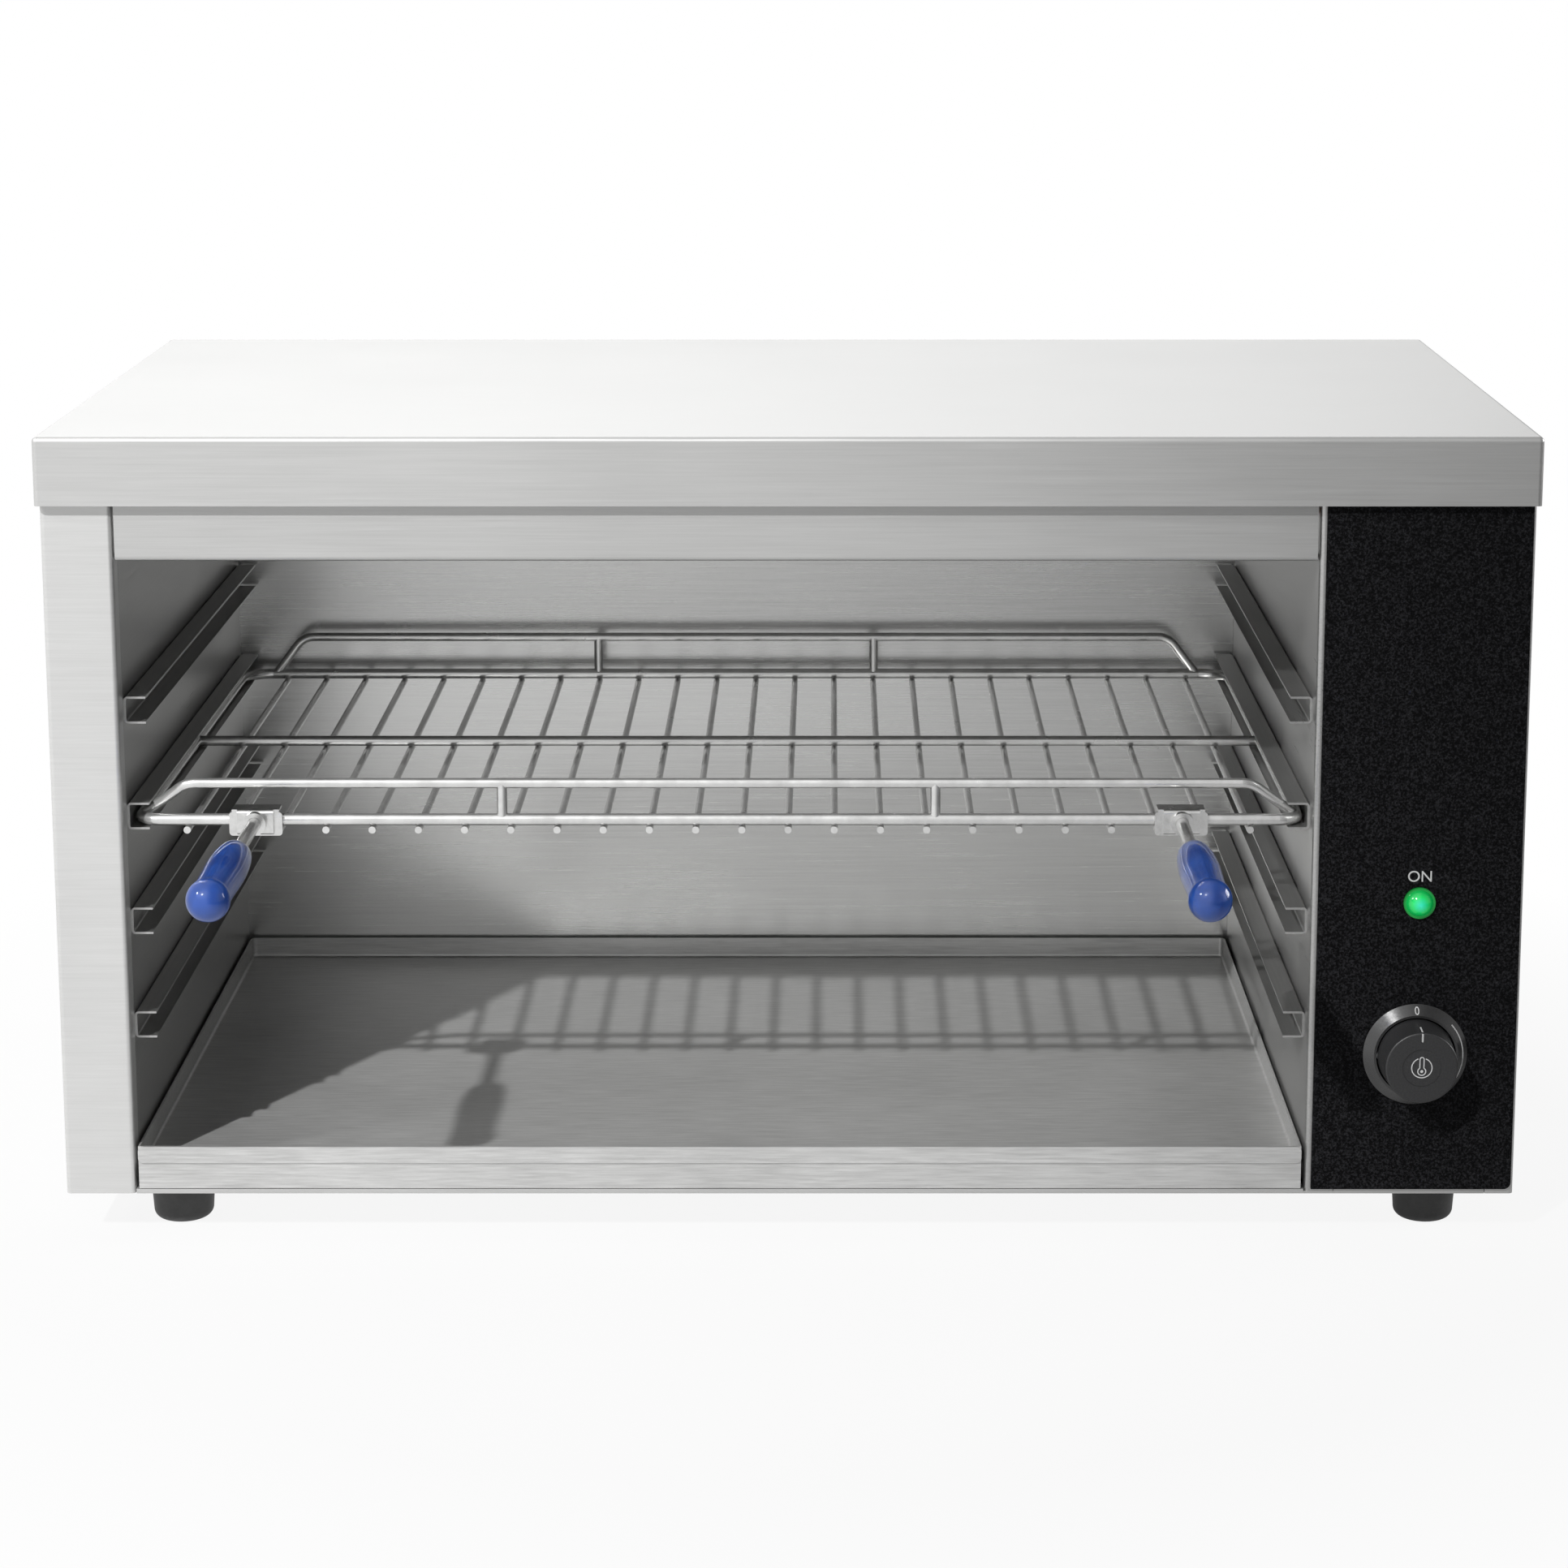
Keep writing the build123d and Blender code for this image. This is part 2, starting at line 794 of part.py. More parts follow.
def handle_grip(x):
    """Turned plastic grip with a shallow waist and a ball end."""
    bore = rod_radius + wire_clearance
    ball_centre = grip_length - grip_ball_radius
    neck = ball_centre - sqrt(grip_ball_radius**2 - grip_waist_radius**2)
    profile = [
        Line((bore, 0), (grip_neck_radius, 0)),
        Spline(
            (grip_neck_radius, 0),
            (grip_shoulder_radius, grip_shoulder_length),
            (grip_radius, grip_length / 3),
            (grip_waist_radius, neck),
            tangents=[(1, 1), (0, 1)],
        ),
        ThreePointArc((grip_waist_radius, neck), (grip_ball_radius, ball_centre), (0, grip_length)),
        Line((0, grip_length), (0, grip_length - grip_blind_end)),
        Line((0, grip_length - grip_blind_end), (bore, grip_length - grip_blind_end)),
        Line((bore, grip_length - grip_blind_end), (bore, 0)),
    ]
    return turned_forward(profile, x, rack_z, grip_start_y)


def control_panel():
    """Black front plate of the control bay, with holes for the lamp, the shaft and its two screws."""
    plate = Pos(panel_mid, (panel_bottom_z + panel_top_z) / 2) * Rectangle(
        panel_right - panel_left, panel_top_z - panel_bottom_z
    )
    plate = fillet(plate.vertices().sort_by(Axis.Y)[:2].sort_by(Axis.X)[-1], panel_corner)
    plate -= Pos(panel_mid, lamp_z) * Circle(lamp_hole_radius)
    plate -= Pos(panel_mid, knob_z) * Circle(shaft_hole_radius)
    for x in thermostat_screw_places:
        plate -= Pos(x, knob_z) * Circle(thermostat_screw_radius + screw_clearance)
    return along_y(plate, panel_face, front)


def lamp_lens():
    """Domed green lens with a flange that seats on the panel."""
    rise = lamp_dome_height - lamp_flange
    sphere_radius = (lamp_dome_radius**2 + rise**2) / (2 * rise)
    sphere_centre = lamp_dome_height - sphere_radius
    half_angle = asin(lamp_dome_radius / sphere_radius) / 2
    middle = (sphere_radius * sin(half_angle), sphere_centre + sphere_radius * cos(half_angle))
    profile = [
        Polyline(
            (0, lamp_dome_height),
            (0, 0),
            (lamp_flange_radius, 0),
            (lamp_flange_radius, lamp_flange),
            (lamp_dome_radius, lamp_flange),
        ),
        ThreePointArc((lamp_dome_radius, lamp_flange), middle, (0, lamp_dome_height)),
    ]
    return turned_forward(profile, panel_mid, lamp_z, panel_face)


def lamp_body():
    """Lamp holder behind the lens, with its nut against the back of the panel."""
    stem_end = (panel_mid, front + lamp_body_length, lamp_z)
    stem = rod(lamp_stem_radius, (panel_mid, panel_face, lamp_z), stem_end)
    nut = hexagon(
        lamp_nut_flats,
        lamp_stem_radius - screw_clearance,
        (panel_mid, front, lamp_z),
        (panel_mid, front + lamp_nut_height, lamp_z),
    )
    return stem + nut


def knob_bezel():
    """Conical ring on the panel round the knob."""
    outline = Polyline(
        (bezel_inner_radius, 0),
        (bezel_outer_radius, 0),
        (bezel_outer_radius, bezel_rim),
        (bezel_inner_radius + bezel_land, bezel_height),
        (bezel_inner_radius, bezel_height),
        close=True,
    )
    return turned_forward(outline, panel_mid, knob_z, panel_face)


def shaft_section(radius, flat):
    """D-shaped section of the thermostat's shaft."""
    return Circle(radius) - Pos(0, radius + flat) * Rectangle(4 * radius, 2 * radius)


def knob():
    """Round knob with a shallow recess in its face, a pointer groove and a bore for the shaft."""
    outline = Polyline(
        (0, knob_stand_off),
        (knob_base_radius, knob_stand_off),
        (knob_face_radius, knob_reach),
        (knob_recess_radius, knob_reach),
        (knob_recess_radius, knob_reach - knob_recess_depth),
        (0, knob_reach - knob_recess_depth),
        close=True,
    )
    body = turned_forward(outline, panel_mid, knob_z, panel_face)
    rim = body.edges().filter_by(GeomType.CIRCLE).filter_by(lambda edge: edge.radius > knob_recess_radius)
    body = fillet(rim.sort_by(Axis.Y)[0], knob_edge_radius)
    face_y = panel_face - knob_reach
    groove = block(
        (panel_mid - pointer_width / 2, face_y - pointer_depth, knob_z + knob_base_radius - pointer_length),
        (panel_mid + pointer_width / 2, face_y + pointer_depth, knob_z + knob_base_radius),
    )
    bore_start = panel_face - knob_stand_off
    bore = Pos(panel_mid, knob_z) * shaft_section(shaft_radius + shaft_clearance, shaft_flat)
    return body - groove - along_y(bore, bore_start - shaft_in_knob - shaft_clearance, bore_start)


def thermostat_shaft():
    """D-shaped shaft from the thermostat into the knob."""
    section = Pos(panel_mid, knob_z) * shaft_section(shaft_radius, shaft_flat)
    return along_y(section, panel_face - knob_stand_off - shaft_in_knob, front + shaft_in_body)


def thermostat_body():
    """Capillary thermostat on the back of the panel, with two terminal blades."""
    low = (panel_mid - thermostat_width / 2, front, knob_z - thermostat_tall / 2)
    high = (panel_mid + thermostat_width / 2, front + thermostat_depth, knob_z + thermostat_tall / 2)
    body = block(low, high)
    body -= rod(
        shaft_radius + shaft_clearance,
        (panel_mid, front - sheet, knob_z),
        (panel_mid, front + shaft_in_body + shaft_clearance, knob_z),
    )
    for x in thermostat_screw_places:
        body -= rod(
            thermostat_screw_radius + screw_clearance,
            (x, front - sheet, knob_z),
            (x, front + thermostat_screw_grip + screw_clearance, knob_z),
        )
        body += block(
            (x - blade_width / 2, high[1], knob_z - blade_thickness / 2),
            (x + blade_width / 2, high[1] + blade_length, knob_z + blade_thickness / 2),
        )
    return body


def thermostat_screws():
    """Two screws that hold the thermostat, under the knob."""
    screws = []
    for x in thermostat_screw_places:
        head = rod(
            thermostat_screw_head,
            (x, panel_face - thermostat_screw_head_height, knob_z),
            (x, panel_face, knob_z),
        )
        shank = rod(
            thermostat_screw_radius,
            (x, panel_face, knob_z),
            (x, front + thermostat_screw_grip, knob_z),
        )
        screws.append(head + shank)
    return screws


def sensor_capillary():
    """Thin tube from the thermostat up the bay and through the partition to the bulb."""
    points = [
        (capillary_x, capillary_y, knob_z + thermostat_tall / 2),
        (capillary_x, capillary_y, element_z),
        (bulb_end_x, capillary_y, element_z),
    ]
    return wire_along(FilletPolyline(*points, radius=capillary_bend), capillary_radius)


def sensor_bulb():
    """Sensing bulb behind the valance, at the height of the elements."""
    start = (bulb_end_x, capillary_y, element_z)
    return rod(bulb_radius, start, (bulb_end_x - bulb_length, capillary_y, element_z))


def bulb_clips():
    """Two strips below the reflector that carry the bulb."""
    low_z = element_z - clip_width / 2
    strip = Pos(capillary_y, (low_z + reflector_z) / 2) * Rectangle(clip_width, reflector_z - low_z)
    strip -= Pos(capillary_y, element_z) * Circle(bulb_radius + element_clearance)
    places = (bulb_end_x - bulb_length / 4, bulb_end_x - 3 * bulb_length / 4)
    return [along_x(strip, x, x + clip_thickness) for x in places]


def terminal_block():
    """Terminal block on the base, where the mains leads meet the inner wiring."""
    body = block(
        (panel_mid - block_width / 2, block_y - block_depth / 2, floor_z),
        (panel_mid + block_width / 2, block_y + block_depth / 2, floor_z + block_tall),
    )
    for i in range(block_poles):
        x = panel_mid + (i - (block_poles - 1) / 2) * block_pole_pitch
        middle_z = floor_z + block_tall / 2
        front_mouth = (x, block_y - block_depth, middle_z)
        body -= rod(block_hole_radius, front_mouth, (x, block_y + block_depth, middle_z))
        body -= rod(block_hole_radius, (x, block_y, middle_z), (x, block_y, floor_z + 2 * block_tall))
    return body


def inner_wiring():
    """Leads between the terminal block, the thermostat, the lamp and the elements' pins."""
    left_blade_x, right_blade_x = thermostat_screw_places
    blade_end_y = front + thermostat_depth + blade_length
    riser_y = blade_end_y + lead_run
    block_front_y = block_y - block_depth / 2
    block_turn_y = block_front_y - lead_run
    pole_z = floor_z + block_tall / 2
    live_x = panel_mid - block_pole_pitch
    neutral_x = panel_mid + block_pole_pitch
    lamp_back_y = front + lamp_body_length
    lamp_turn_y = blade_end_y - blade_length / 2
    pin_end_x = element_end_x + element_pin_length
    (first_y, second_y), (third_y, last_y) = element_legs
    loop_x = pin_end_x + lead_run
    routes = [
        [
            (live_x, block_front_y, pole_z),
            (live_x, block_turn_y, pole_z),
            (left_blade_x, riser_y, pole_z),
            (left_blade_x, riser_y, knob_z),
            (left_blade_x, blade_end_y, knob_z),
        ],
        [
            (right_blade_x, blade_end_y, knob_z),
            (right_blade_x, riser_y, knob_z),
            (loop_x, first_y, element_z),
            (pin_end_x, first_y, element_z),
        ],
        [
            (pin_end_x, second_y, element_z),
            (loop_x, second_y, element_z),
            (loop_x, third_y, element_z),
            (pin_end_x, third_y, element_z),
        ],
        [
            (neutral_x - lead_spacing / 2, block_front_y, pole_z),
            (neutral_x - lead_spacing / 2, block_turn_y, pole_z),
            (loop_x, last_y, element_z),
            (pin_end_x, last_y, element_z),
        ],
        [
            (panel_mid - lead_spacing, lamp_back_y, lamp_z),
            (panel_mid - lead_spacing, riser_y + lead_run, lamp_z),
            (neutral_x + lead_spacing, riser_y + 2 * lead_run, pole_z + lead_run),
            (neutral_x + lead_spacing / 2, block_turn_y - lead_run, pole_z),
            (neutral_x + lead_spacing / 2, block_front_y, pole_z),
        ],
        [
            (panel_mid + lead_spacing, lamp_back_y, lamp_z),
            (panel_mid + lead_spacing, lamp_turn_y, lamp_z),
            (right_blade_x, lamp_turn_y, lamp_z - lead_run),
            (right_blade_x, lamp_turn_y, knob_z + blade_thickness / 2),
        ],
    ]
    return [wire_along(FilletPolyline(*route, radius=lead_bend), lead_radius) for route in routes]


def cable_gland():
    """Gland through the back panel, with a bore for the mains lead."""
    centre = (panel_mid, back, gland_height)
    cap_start = (panel_mid, back + gland_flange, gland_height)
    cap_end = (panel_mid, back + gland_reach, gland_height)
    inner_end = (panel_mid, back_inner - gland_thread_inside, gland_height)
    gland = hexagon(gland_flats, gland_bore_radius, centre, cap_start)
    cap = rod(gland_cap_radius, cap_start, cap_end)
    gland += fillet(cap.edges().filter_by(GeomType.CIRCLE).sort_by(Axis.Y)[-1], gland_cap_edge)
    gland += rod(gland_thread_radius, inner_end, centre)
    return gland - rod(gland_bore_radius, inner_end, cap_end)


def gland_nut():
    """Nut that holds the gland from inside the bay."""
    return hexagon(
        gland_flats,
        gland_thread_radius + screw_clearance,
        (panel_mid, back_inner - gland_nut_height, gland_height),
        (panel_mid, back_inner, gland_height),
    )


def foot(x, y):
    """Tapered rubber foot with a rounded lower edge and a recess for its screw."""
    body = Pos(x, y, 0) * Cone(
        foot_bottom_radius, foot_top_radius, foot_height, align=(Align.CENTER, Align.CENTER, Align.MIN)
    )
    body = fillet(body.edges().sort_by(Axis.Z)[0], foot_edge_radius)
    body -= rod(foot_bore_radius, (x, y, 0), (x, y, foot_height))
    return body - rod(foot_recess_radius, (x, y, 0), (x, y, foot_recess_depth))


def foot_screws():
    """Screws up through the feet, each with a nut on the base."""
    pieces = []
    for x, y in foot_places.values():
        head_bottom = foot_recess_depth - foot_screw_head_height
        screw = rod(foot_screw_head_radius, (x, y, head_bottom), (x, y, foot_recess_depth))
        screw += rod(foot_screw_radius, (x, y, foot_recess_depth), (x, y, floor_z + foot_nut_height))
        pieces.append(screw)
        bore = foot_screw_radius + wire_clearance
        pieces.append(hexagon(foot_nut_flats, bore, (x, y, floor_z), (x, y, floor_z + foot_nut_height)))
    return pieces


def case_screw(x, seat_y, z):
    """Pan-head screw driven forward into the casing's back."""
    head = rod(case_screw_head_radius, (x, seat_y, z), (x, seat_y + case_screw_head_height, z))
    return head + rod(case_screw_radius, (x, seat_y - case_screw_length, z), (x, seat_y, z))


def back_panel_screws():
    """Screws through the back panel into the flanges behind it."""
    columns = (*side_screw_x, partition_screw_x)
    return [case_screw(x, back, z) for x in columns for z in back_screw_heights]


def lid_screws():
    """Screws through the lid's back skirt into the back panel."""
    return [case_screw(x, back + lid_gap + sheet, z) for x, z in lid_screw_places]


def all_pieces():
    """Every piece of the grill by its node's name."""
    frame = rack_frame()
    pieces = {
        "top_lid": top_lid(),
        "left_side_panel": left_side_panel(),
        "right_side_panel": right_side_panel(),
        "cavity_left_wall": cavity_left_wall(),
        "partition_wall": partition_wall(),
        "base_plate": base_plate(),
        "back_panel": back_panel(),
        "front_valance": front_valance(),
        "heat_reflector": heat_reflector(),
        "heating_element_front": heating_element(element_legs[0]),
        "heating_element_rear": heating_element(element_legs[1]),
        "element_hangers": element_hangers(),
        "element_bushings": element_bushings(),
        "element_nuts": element_nuts(),
        "element_insulators": element_insulators(),
        "tray_guide_left": tray_guide(),
        "tray_guide_right": on_right(tray_guide()),
        "drip_tray": drip_tray(),
        "rack_frame": frame,
        "rack_centre_bar": rack_centre_bar(frame),
        "rack_cross_wires": rack_cross_wires(),
        "rack_front_guard": rack_front_guard(frame),
        "rack_rear_guard": rack_rear_guard(frame),
        "control_panel": control_panel(),
        "lamp_lens": lamp_lens(),
        "lamp_body": lamp_body(),
        "knob_bezel": knob_bezel(),
        "knob": knob(),
        "thermostat_shaft": thermostat_shaft(),
        "thermostat_body": thermostat_body(),
        "thermostat_screws": thermostat_screws(),
        "sensor_capillary": sensor_capillary(),
        "sensor_bulb": sensor_bulb(),
        "bulb_clips": bulb_clips(),
        "terminal_block": terminal_block(),
        "inner_wiring": inner_wiring(),
        "cable_gland": cable_gland(),
        "gland_nut": gland_nut(),
        "foot_screws": foot_screws(),
        "back_panel_screws": back_panel_screws(),
        "lid_screws": lid_screws(),
    }
    for i, level_z in enumerate(runner_levels, start=1):
        pieces[f"runner_left_{i}"] = runner(level_z)
        pieces[f"runner_right_{i}"] = on_right(runner(level_z))
    for side, x in (("left", cavity_mid - handle_offset), ("right", cavity_mid + handle_offset)):
        pieces[f"handle_bracket_{side}"] = handle_bracket(x)
        pieces[f"handle_rod_{side}"] = handle_rod(x)
        pieces[f"handle_grip_{side}"] = handle_grip(x)
    for name, place in foot_places.items():
        pieces[name] = foot(*place)
    return pieces


os.makedirs("parts", exist_ok=True)
for name, piece in all_pieces().items():
    shape = Compound(children=piece) if isinstance(piece, list) else piece
    export_step(shape, f"parts/{name}.step")
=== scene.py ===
"""Looks of an electric salamander grill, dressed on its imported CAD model.

Metres, in the CAD frame: X to the right, Y to the back, Z up, with the open front facing -Y.
"""

import math

import bpy
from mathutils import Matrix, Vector


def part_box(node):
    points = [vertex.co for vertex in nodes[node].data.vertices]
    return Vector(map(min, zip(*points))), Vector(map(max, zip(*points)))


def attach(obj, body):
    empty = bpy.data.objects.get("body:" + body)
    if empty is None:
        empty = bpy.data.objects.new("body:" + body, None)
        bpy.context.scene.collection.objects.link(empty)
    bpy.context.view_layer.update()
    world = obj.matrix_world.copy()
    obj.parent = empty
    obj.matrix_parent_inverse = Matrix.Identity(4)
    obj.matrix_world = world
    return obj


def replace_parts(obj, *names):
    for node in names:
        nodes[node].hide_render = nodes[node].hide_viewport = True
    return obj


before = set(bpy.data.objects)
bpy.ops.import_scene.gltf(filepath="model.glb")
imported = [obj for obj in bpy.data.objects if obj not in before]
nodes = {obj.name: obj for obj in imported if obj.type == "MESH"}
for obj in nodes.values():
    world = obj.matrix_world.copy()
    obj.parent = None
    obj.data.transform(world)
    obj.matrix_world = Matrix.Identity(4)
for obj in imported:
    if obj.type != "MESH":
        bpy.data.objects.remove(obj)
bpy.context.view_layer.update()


# Casing
# The sides, base, back and valance are folded from 1 mm stainless sheet and spot-welded.
# The sheet comes brushed with a fine belt, and the grain lies across the front.
MM = 0.001


def linear(hex_colour):
    """Linear RGBA of an sRGB colour written as a hex string."""
    shares = [int(hex_colour[i : i + 2], 16) / 255 for i in (1, 3, 5)]
    return [s / 12.92 if s <= 0.04045 else ((s + 0.055) / 1.055) ** 2.4 for s in shares] + [1.0]


def add_node(tree, kind, inputs=None, **settings):
    """Adds a node, applies its settings, and fills each input with a value or a link."""
    node = tree.nodes.new(kind)
    for key, value in settings.items():
        setattr(node, key, value)
    for key, value in (inputs or {}).items():
        if isinstance(value, bpy.types.NodeSocket):
            tree.links.new(value, node.inputs[key])
        else:
            node.inputs[key].default_value = value
    return node


def new_material(name):
    """An empty material and its shader, ready for nodes."""
    material = bpy.data.materials.new(name)
    material.use_nodes = True
    return material, material.node_tree, material.node_tree.nodes["Principled BSDF"]


def dress(material, *names):
    """Gives a material to whole CAD nodes."""
    for name in names:
        for slot in nodes[name].material_slots:
            slot.material = material


def brushed_steel(name, dark, light, grain, roughness, metallic, wraps_sides=False):
    """Belt-brushed stainless: long fine scratches and soft clouds. The grain can turn down at folded sides."""
    material, tree, shader = new_material(name)
    sheet = add_node(tree, "ShaderNodeTexCoord")
    place = sheet.outputs["Object"]
    if wraps_sides:
        facing = add_node(tree, "ShaderNodeSeparateXYZ", {"Vector": sheet.outputs["Normal"]})
        sideways = add_node(tree, "ShaderNodeMath", {0: facing.outputs["X"]}, operation="ABSOLUTE")
        flap = add_node(tree, "ShaderNodeMath", {0: sideways.outputs[0], 1: 0.7}, operation="GREATER_THAN")
        axes = add_node(tree, "ShaderNodeSeparateXYZ", {"Vector": place})
        folded = add_node(
            tree, "ShaderNodeCombineXYZ", {"X": axes.outputs["Z"], "Y": axes.outputs["Y"], "Z": axes.outputs["X"]}
        )
        place = add_node(
            tree,
            "ShaderNodeMix",
            {"Factor": flap.outputs[0], 4: place, 5: folded.outputs[0]},
            data_type="VECTOR",
        ).outputs[1]
    along = add_node(
        tree, "ShaderNodeMapping", {"Vector": place, "Scale": [1 / (size * MM) for size in grain]}
    )
    scratches = add_node(
        tree, "ShaderNodeTexNoise", {"Vector": along.outputs[0], "Scale": 1.0, "Detail": 4.0, "Roughness": 0.65}
    )
    clouds = add_node(tree, "ShaderNodeTexNoise", {"Vector": place, "Scale": 1 / (90 * MM), "Detail": 2.0})
    both = add_node(
        tree,
        "ShaderNodeMix",
        {"Factor": 0.35, "A": scratches.outputs["Fac"], "B": clouds.outputs["Fac"]},
        data_type="FLOAT",
    )
    tone = add_node(tree, "ShaderNodeValToRGB", {"Fac": both.outputs[0]})
    tone.color_ramp.elements[0].position = 0.3
    tone.color_ramp.elements[0].color = linear(dark)
    tone.color_ramp.elements[1].position = 0.7
    tone.color_ramp.elements[1].color = linear(light)
    gloss = add_node(
        tree,
        "ShaderNodeMapRange",
        {
            "Value": both.outputs[0],
            "From Min": 0.3,
            "From Max": 0.7,
            "To Min": roughness[0],
            "To Max": roughness[1],
        },
    )
    relief = add_node(
        tree, "ShaderNodeBump", {"Height": scratches.outputs["Fac"], "Strength": 0.12, "Distance": 0.1 * MM}
    )
    tree.links.new(tone.outputs[0], shader.inputs["Base Color"])
    tree.links.new(gloss.outputs[0], shader.inputs["Roughness"])
    tree.links.new(relief.outputs[0], shader.inputs["Normal"])
    shader.inputs["Metallic"].default_value = metallic
    return material


# Real belt scratches are about 0.1 mm wide, too fine for a render of the whole grill, so they are drawn 0.7 mm wide.
casing_steel = brushed_steel("brushed_stainless_steel", "#b7b7b6", "#c6c6c5", (45, 0.7, 0.7), (0.3, 0.42), 0.55)
dress(casing_steel, "front_valance", "base_plate")
# The side panels get a lighter tone than the rest of the casing, so their front posts show brighter: painted light.
side_steel_painted_lighter = brushed_steel("brushed_stainless_sides_painted_lit", "#c7c7c6", "#d3d3d2", (45, 45, 0.7), (0.3, 0.42), 0.55)
dress(side_steel_painted_lighter, "left_side_panel", "right_side_panel")
# The back is a bright-annealed sheet, left smoother than the outside, so it mirrors the cavity's mouth.
# Its tone is also set lighter than the casing's, which paints the cavity's back brighter: painted light.
back_steel_painted_lighter = brushed_steel("bright_annealed_back_painted_lit", "#c6c6c5", "#d8d8d7", (60, 1.0, 0.9), (0.2, 0.3), 0.9)
dress(back_steel_painted_lighter, "back_panel")


# Lid
# One sheet folded down all round and welded at the corners, set over the casing and screwed at the back.
# Its corners are ground smooth after welding.
lid_steel = brushed_steel("brushed_stainless_lid", "#bcbcbb", "#c9c9c8", (50, 0.8, 0.7), (0.32, 0.44), 0.6, True)
dress(lid_steel, "top_lid")


# Cavity walls, runners and tray guides
# Plain mill-finish stainless, brushed front to back, with the runners spot-welded to the walls.
# These sheets are toned a little darker than the outside: painted shade for the inside of the cavity.
cavity_steel_painted_shade = brushed_steel("mill_stainless_walls_painted_shade", "#a6a6a5", "#bdbdbc", (1.0, 60, 1.0), (0.26, 0.4), 0.85)
dress(cavity_steel_painted_shade, "cavity_left_wall", "partition_wall", "heat_reflector", "element_hangers", "bulb_clips")
dress(cavity_steel_painted_shade, "tray_guide_left", "tray_guide_right")
dress(cavity_steel_painted_shade, *[f"runner_{side}_{level}" for side in ("left", "right") for level in (1, 2, 3, 4)])


# Heating elements
# Incoloy tubes packed with magnesia round a coil, bent to hairpins, and dulled by their first firing.
# Brass bushings clamp them in the partition, and ceramic collars insulate their pins.
def worn_surface(name, dark, light, patch, roughness, metallic):
    """A surface whose colour and gloss drift between two tones in patches of a given size in millimetres."""
    material, tree, shader = new_material(name)
    place = add_node(tree, "ShaderNodeTexCoord").outputs["Object"]
    patches = add_node(
        tree, "ShaderNodeTexNoise", {"Vector": place, "Scale": 1 / (patch * MM), "Detail": 5.0, "Roughness": 0.6}
    )
    tone = add_node(tree, "ShaderNodeValToRGB", {"Fac": patches.outputs["Fac"]})
    tone.color_ramp.elements[0].position = 0.35
    tone.color_ramp.elements[0].color = linear(dark)
    tone.color_ramp.elements[1].position = 0.65
    tone.color_ramp.elements[1].color = linear(light)
    gloss = add_node(
        tree,
        "ShaderNodeMapRange",
        {
            "Value": patches.outputs["Fac"],
            "From Min": 0.3,
            "From Max": 0.7,
            "To Min": roughness[0],
            "To Max": roughness[1],
        },
    )
    relief = add_node(
        tree, "ShaderNodeBump", {"Height": patches.outputs["Fac"], "Strength": 0.1, "Distance": 0.1 * MM}
    )
    tree.links.new(tone.outputs[0], shader.inputs["Base Color"])
    tree.links.new(gloss.outputs[0], shader.inputs["Roughness"])
    tree.links.new(relief.outputs[0], shader.inputs["Normal"])
    shader.inputs["Metallic"].default_value = metallic
    return material


fired_incoloy = worn_surface("fired_incoloy", "#3a3937", "#585653", 6, (0.45, 0.6), 0.7)
dress(fired_incoloy, "heating_element_front", "heating_element_rear")
turned_brass = worn_surface("turned_brass", "#a98645", "#c3a25e", 4, (0.25, 0.4), 1.0)
dress(turned_brass, "element_bushings", "element_nuts")
steatite = worn_surface("steatite_ceramic", "#d8d2c4", "#e6e1d6", 3, (0.35, 0.5), 0.0)
dress(steatite, "element_insulators", "terminal_block")


# Drip tray
# A shallow pan of thin stainless with a deep apron in front and a hem folded over along the apron's top.
# Its floor is brushed across and carries fine wavy marks from the wiping of fat.
tray_steel = brushed_steel("brushed_stainless_tray", "#b4b4b3", "#dcdcdb", (20, 1.5, 1.0), (0.34, 0.5), 0.65)
dress(tray_steel, "drip_tray")


# Rack
# Drawn stainless wire, bent, resistance-welded at every crossing and electropolished bright.
# The thin wires lie under the frame, so their cut ends show in a row below the front wire.
polished_wire = worn_surface("electropolished_wire", "#cfcfce", "#e2e2e1", 12, (0.18, 0.28), 0.8)
dress(polished_wire, "rack_frame", "rack_centre_bar", "rack_cross_wires", "rack_front_guard", "rack_rear_guard")


# Handles
# A pressed steel clip closes round the front wire, and a steel rod screwed into it carries the grip.
# The grip is a clear acrylic sleeve cast over a blue core, and ends in a ball.
handle_steel = worn_surface("pressed_bright_steel", "#cfcfce", "#e0e0df", 5, (0.18, 0.28), 1.0)
dress(handle_steel, "handle_bracket_left", "handle_bracket_right", "handle_rod_left", "handle_rod_right")

clear_acrylic, tree, shader = new_material("clear_cast_acrylic")
shader.inputs["Base Color"].default_value = linear("#dfe4f4")
shader.inputs["Transmission Weight"].default_value = 1.0
shader.inputs["IOR"].default_value = 1.49
flow = add_node(tree, "ShaderNodeTexCoord").outputs["Object"]
ripple = add_node(tree, "ShaderNodeTexNoise", {"Vector": flow, "Scale": 1 / (9 * MM), "Detail": 1.0})
polish = add_node(tree, "ShaderNodeMapRange", {"Value": ripple.outputs["Fac"], "To Min": 0.02, "To Max": 0.07})
tree.links.new(polish.outputs[0], shader.inputs["Roughness"])
dress(clear_acrylic, "handle_grip_left", "handle_grip_right")

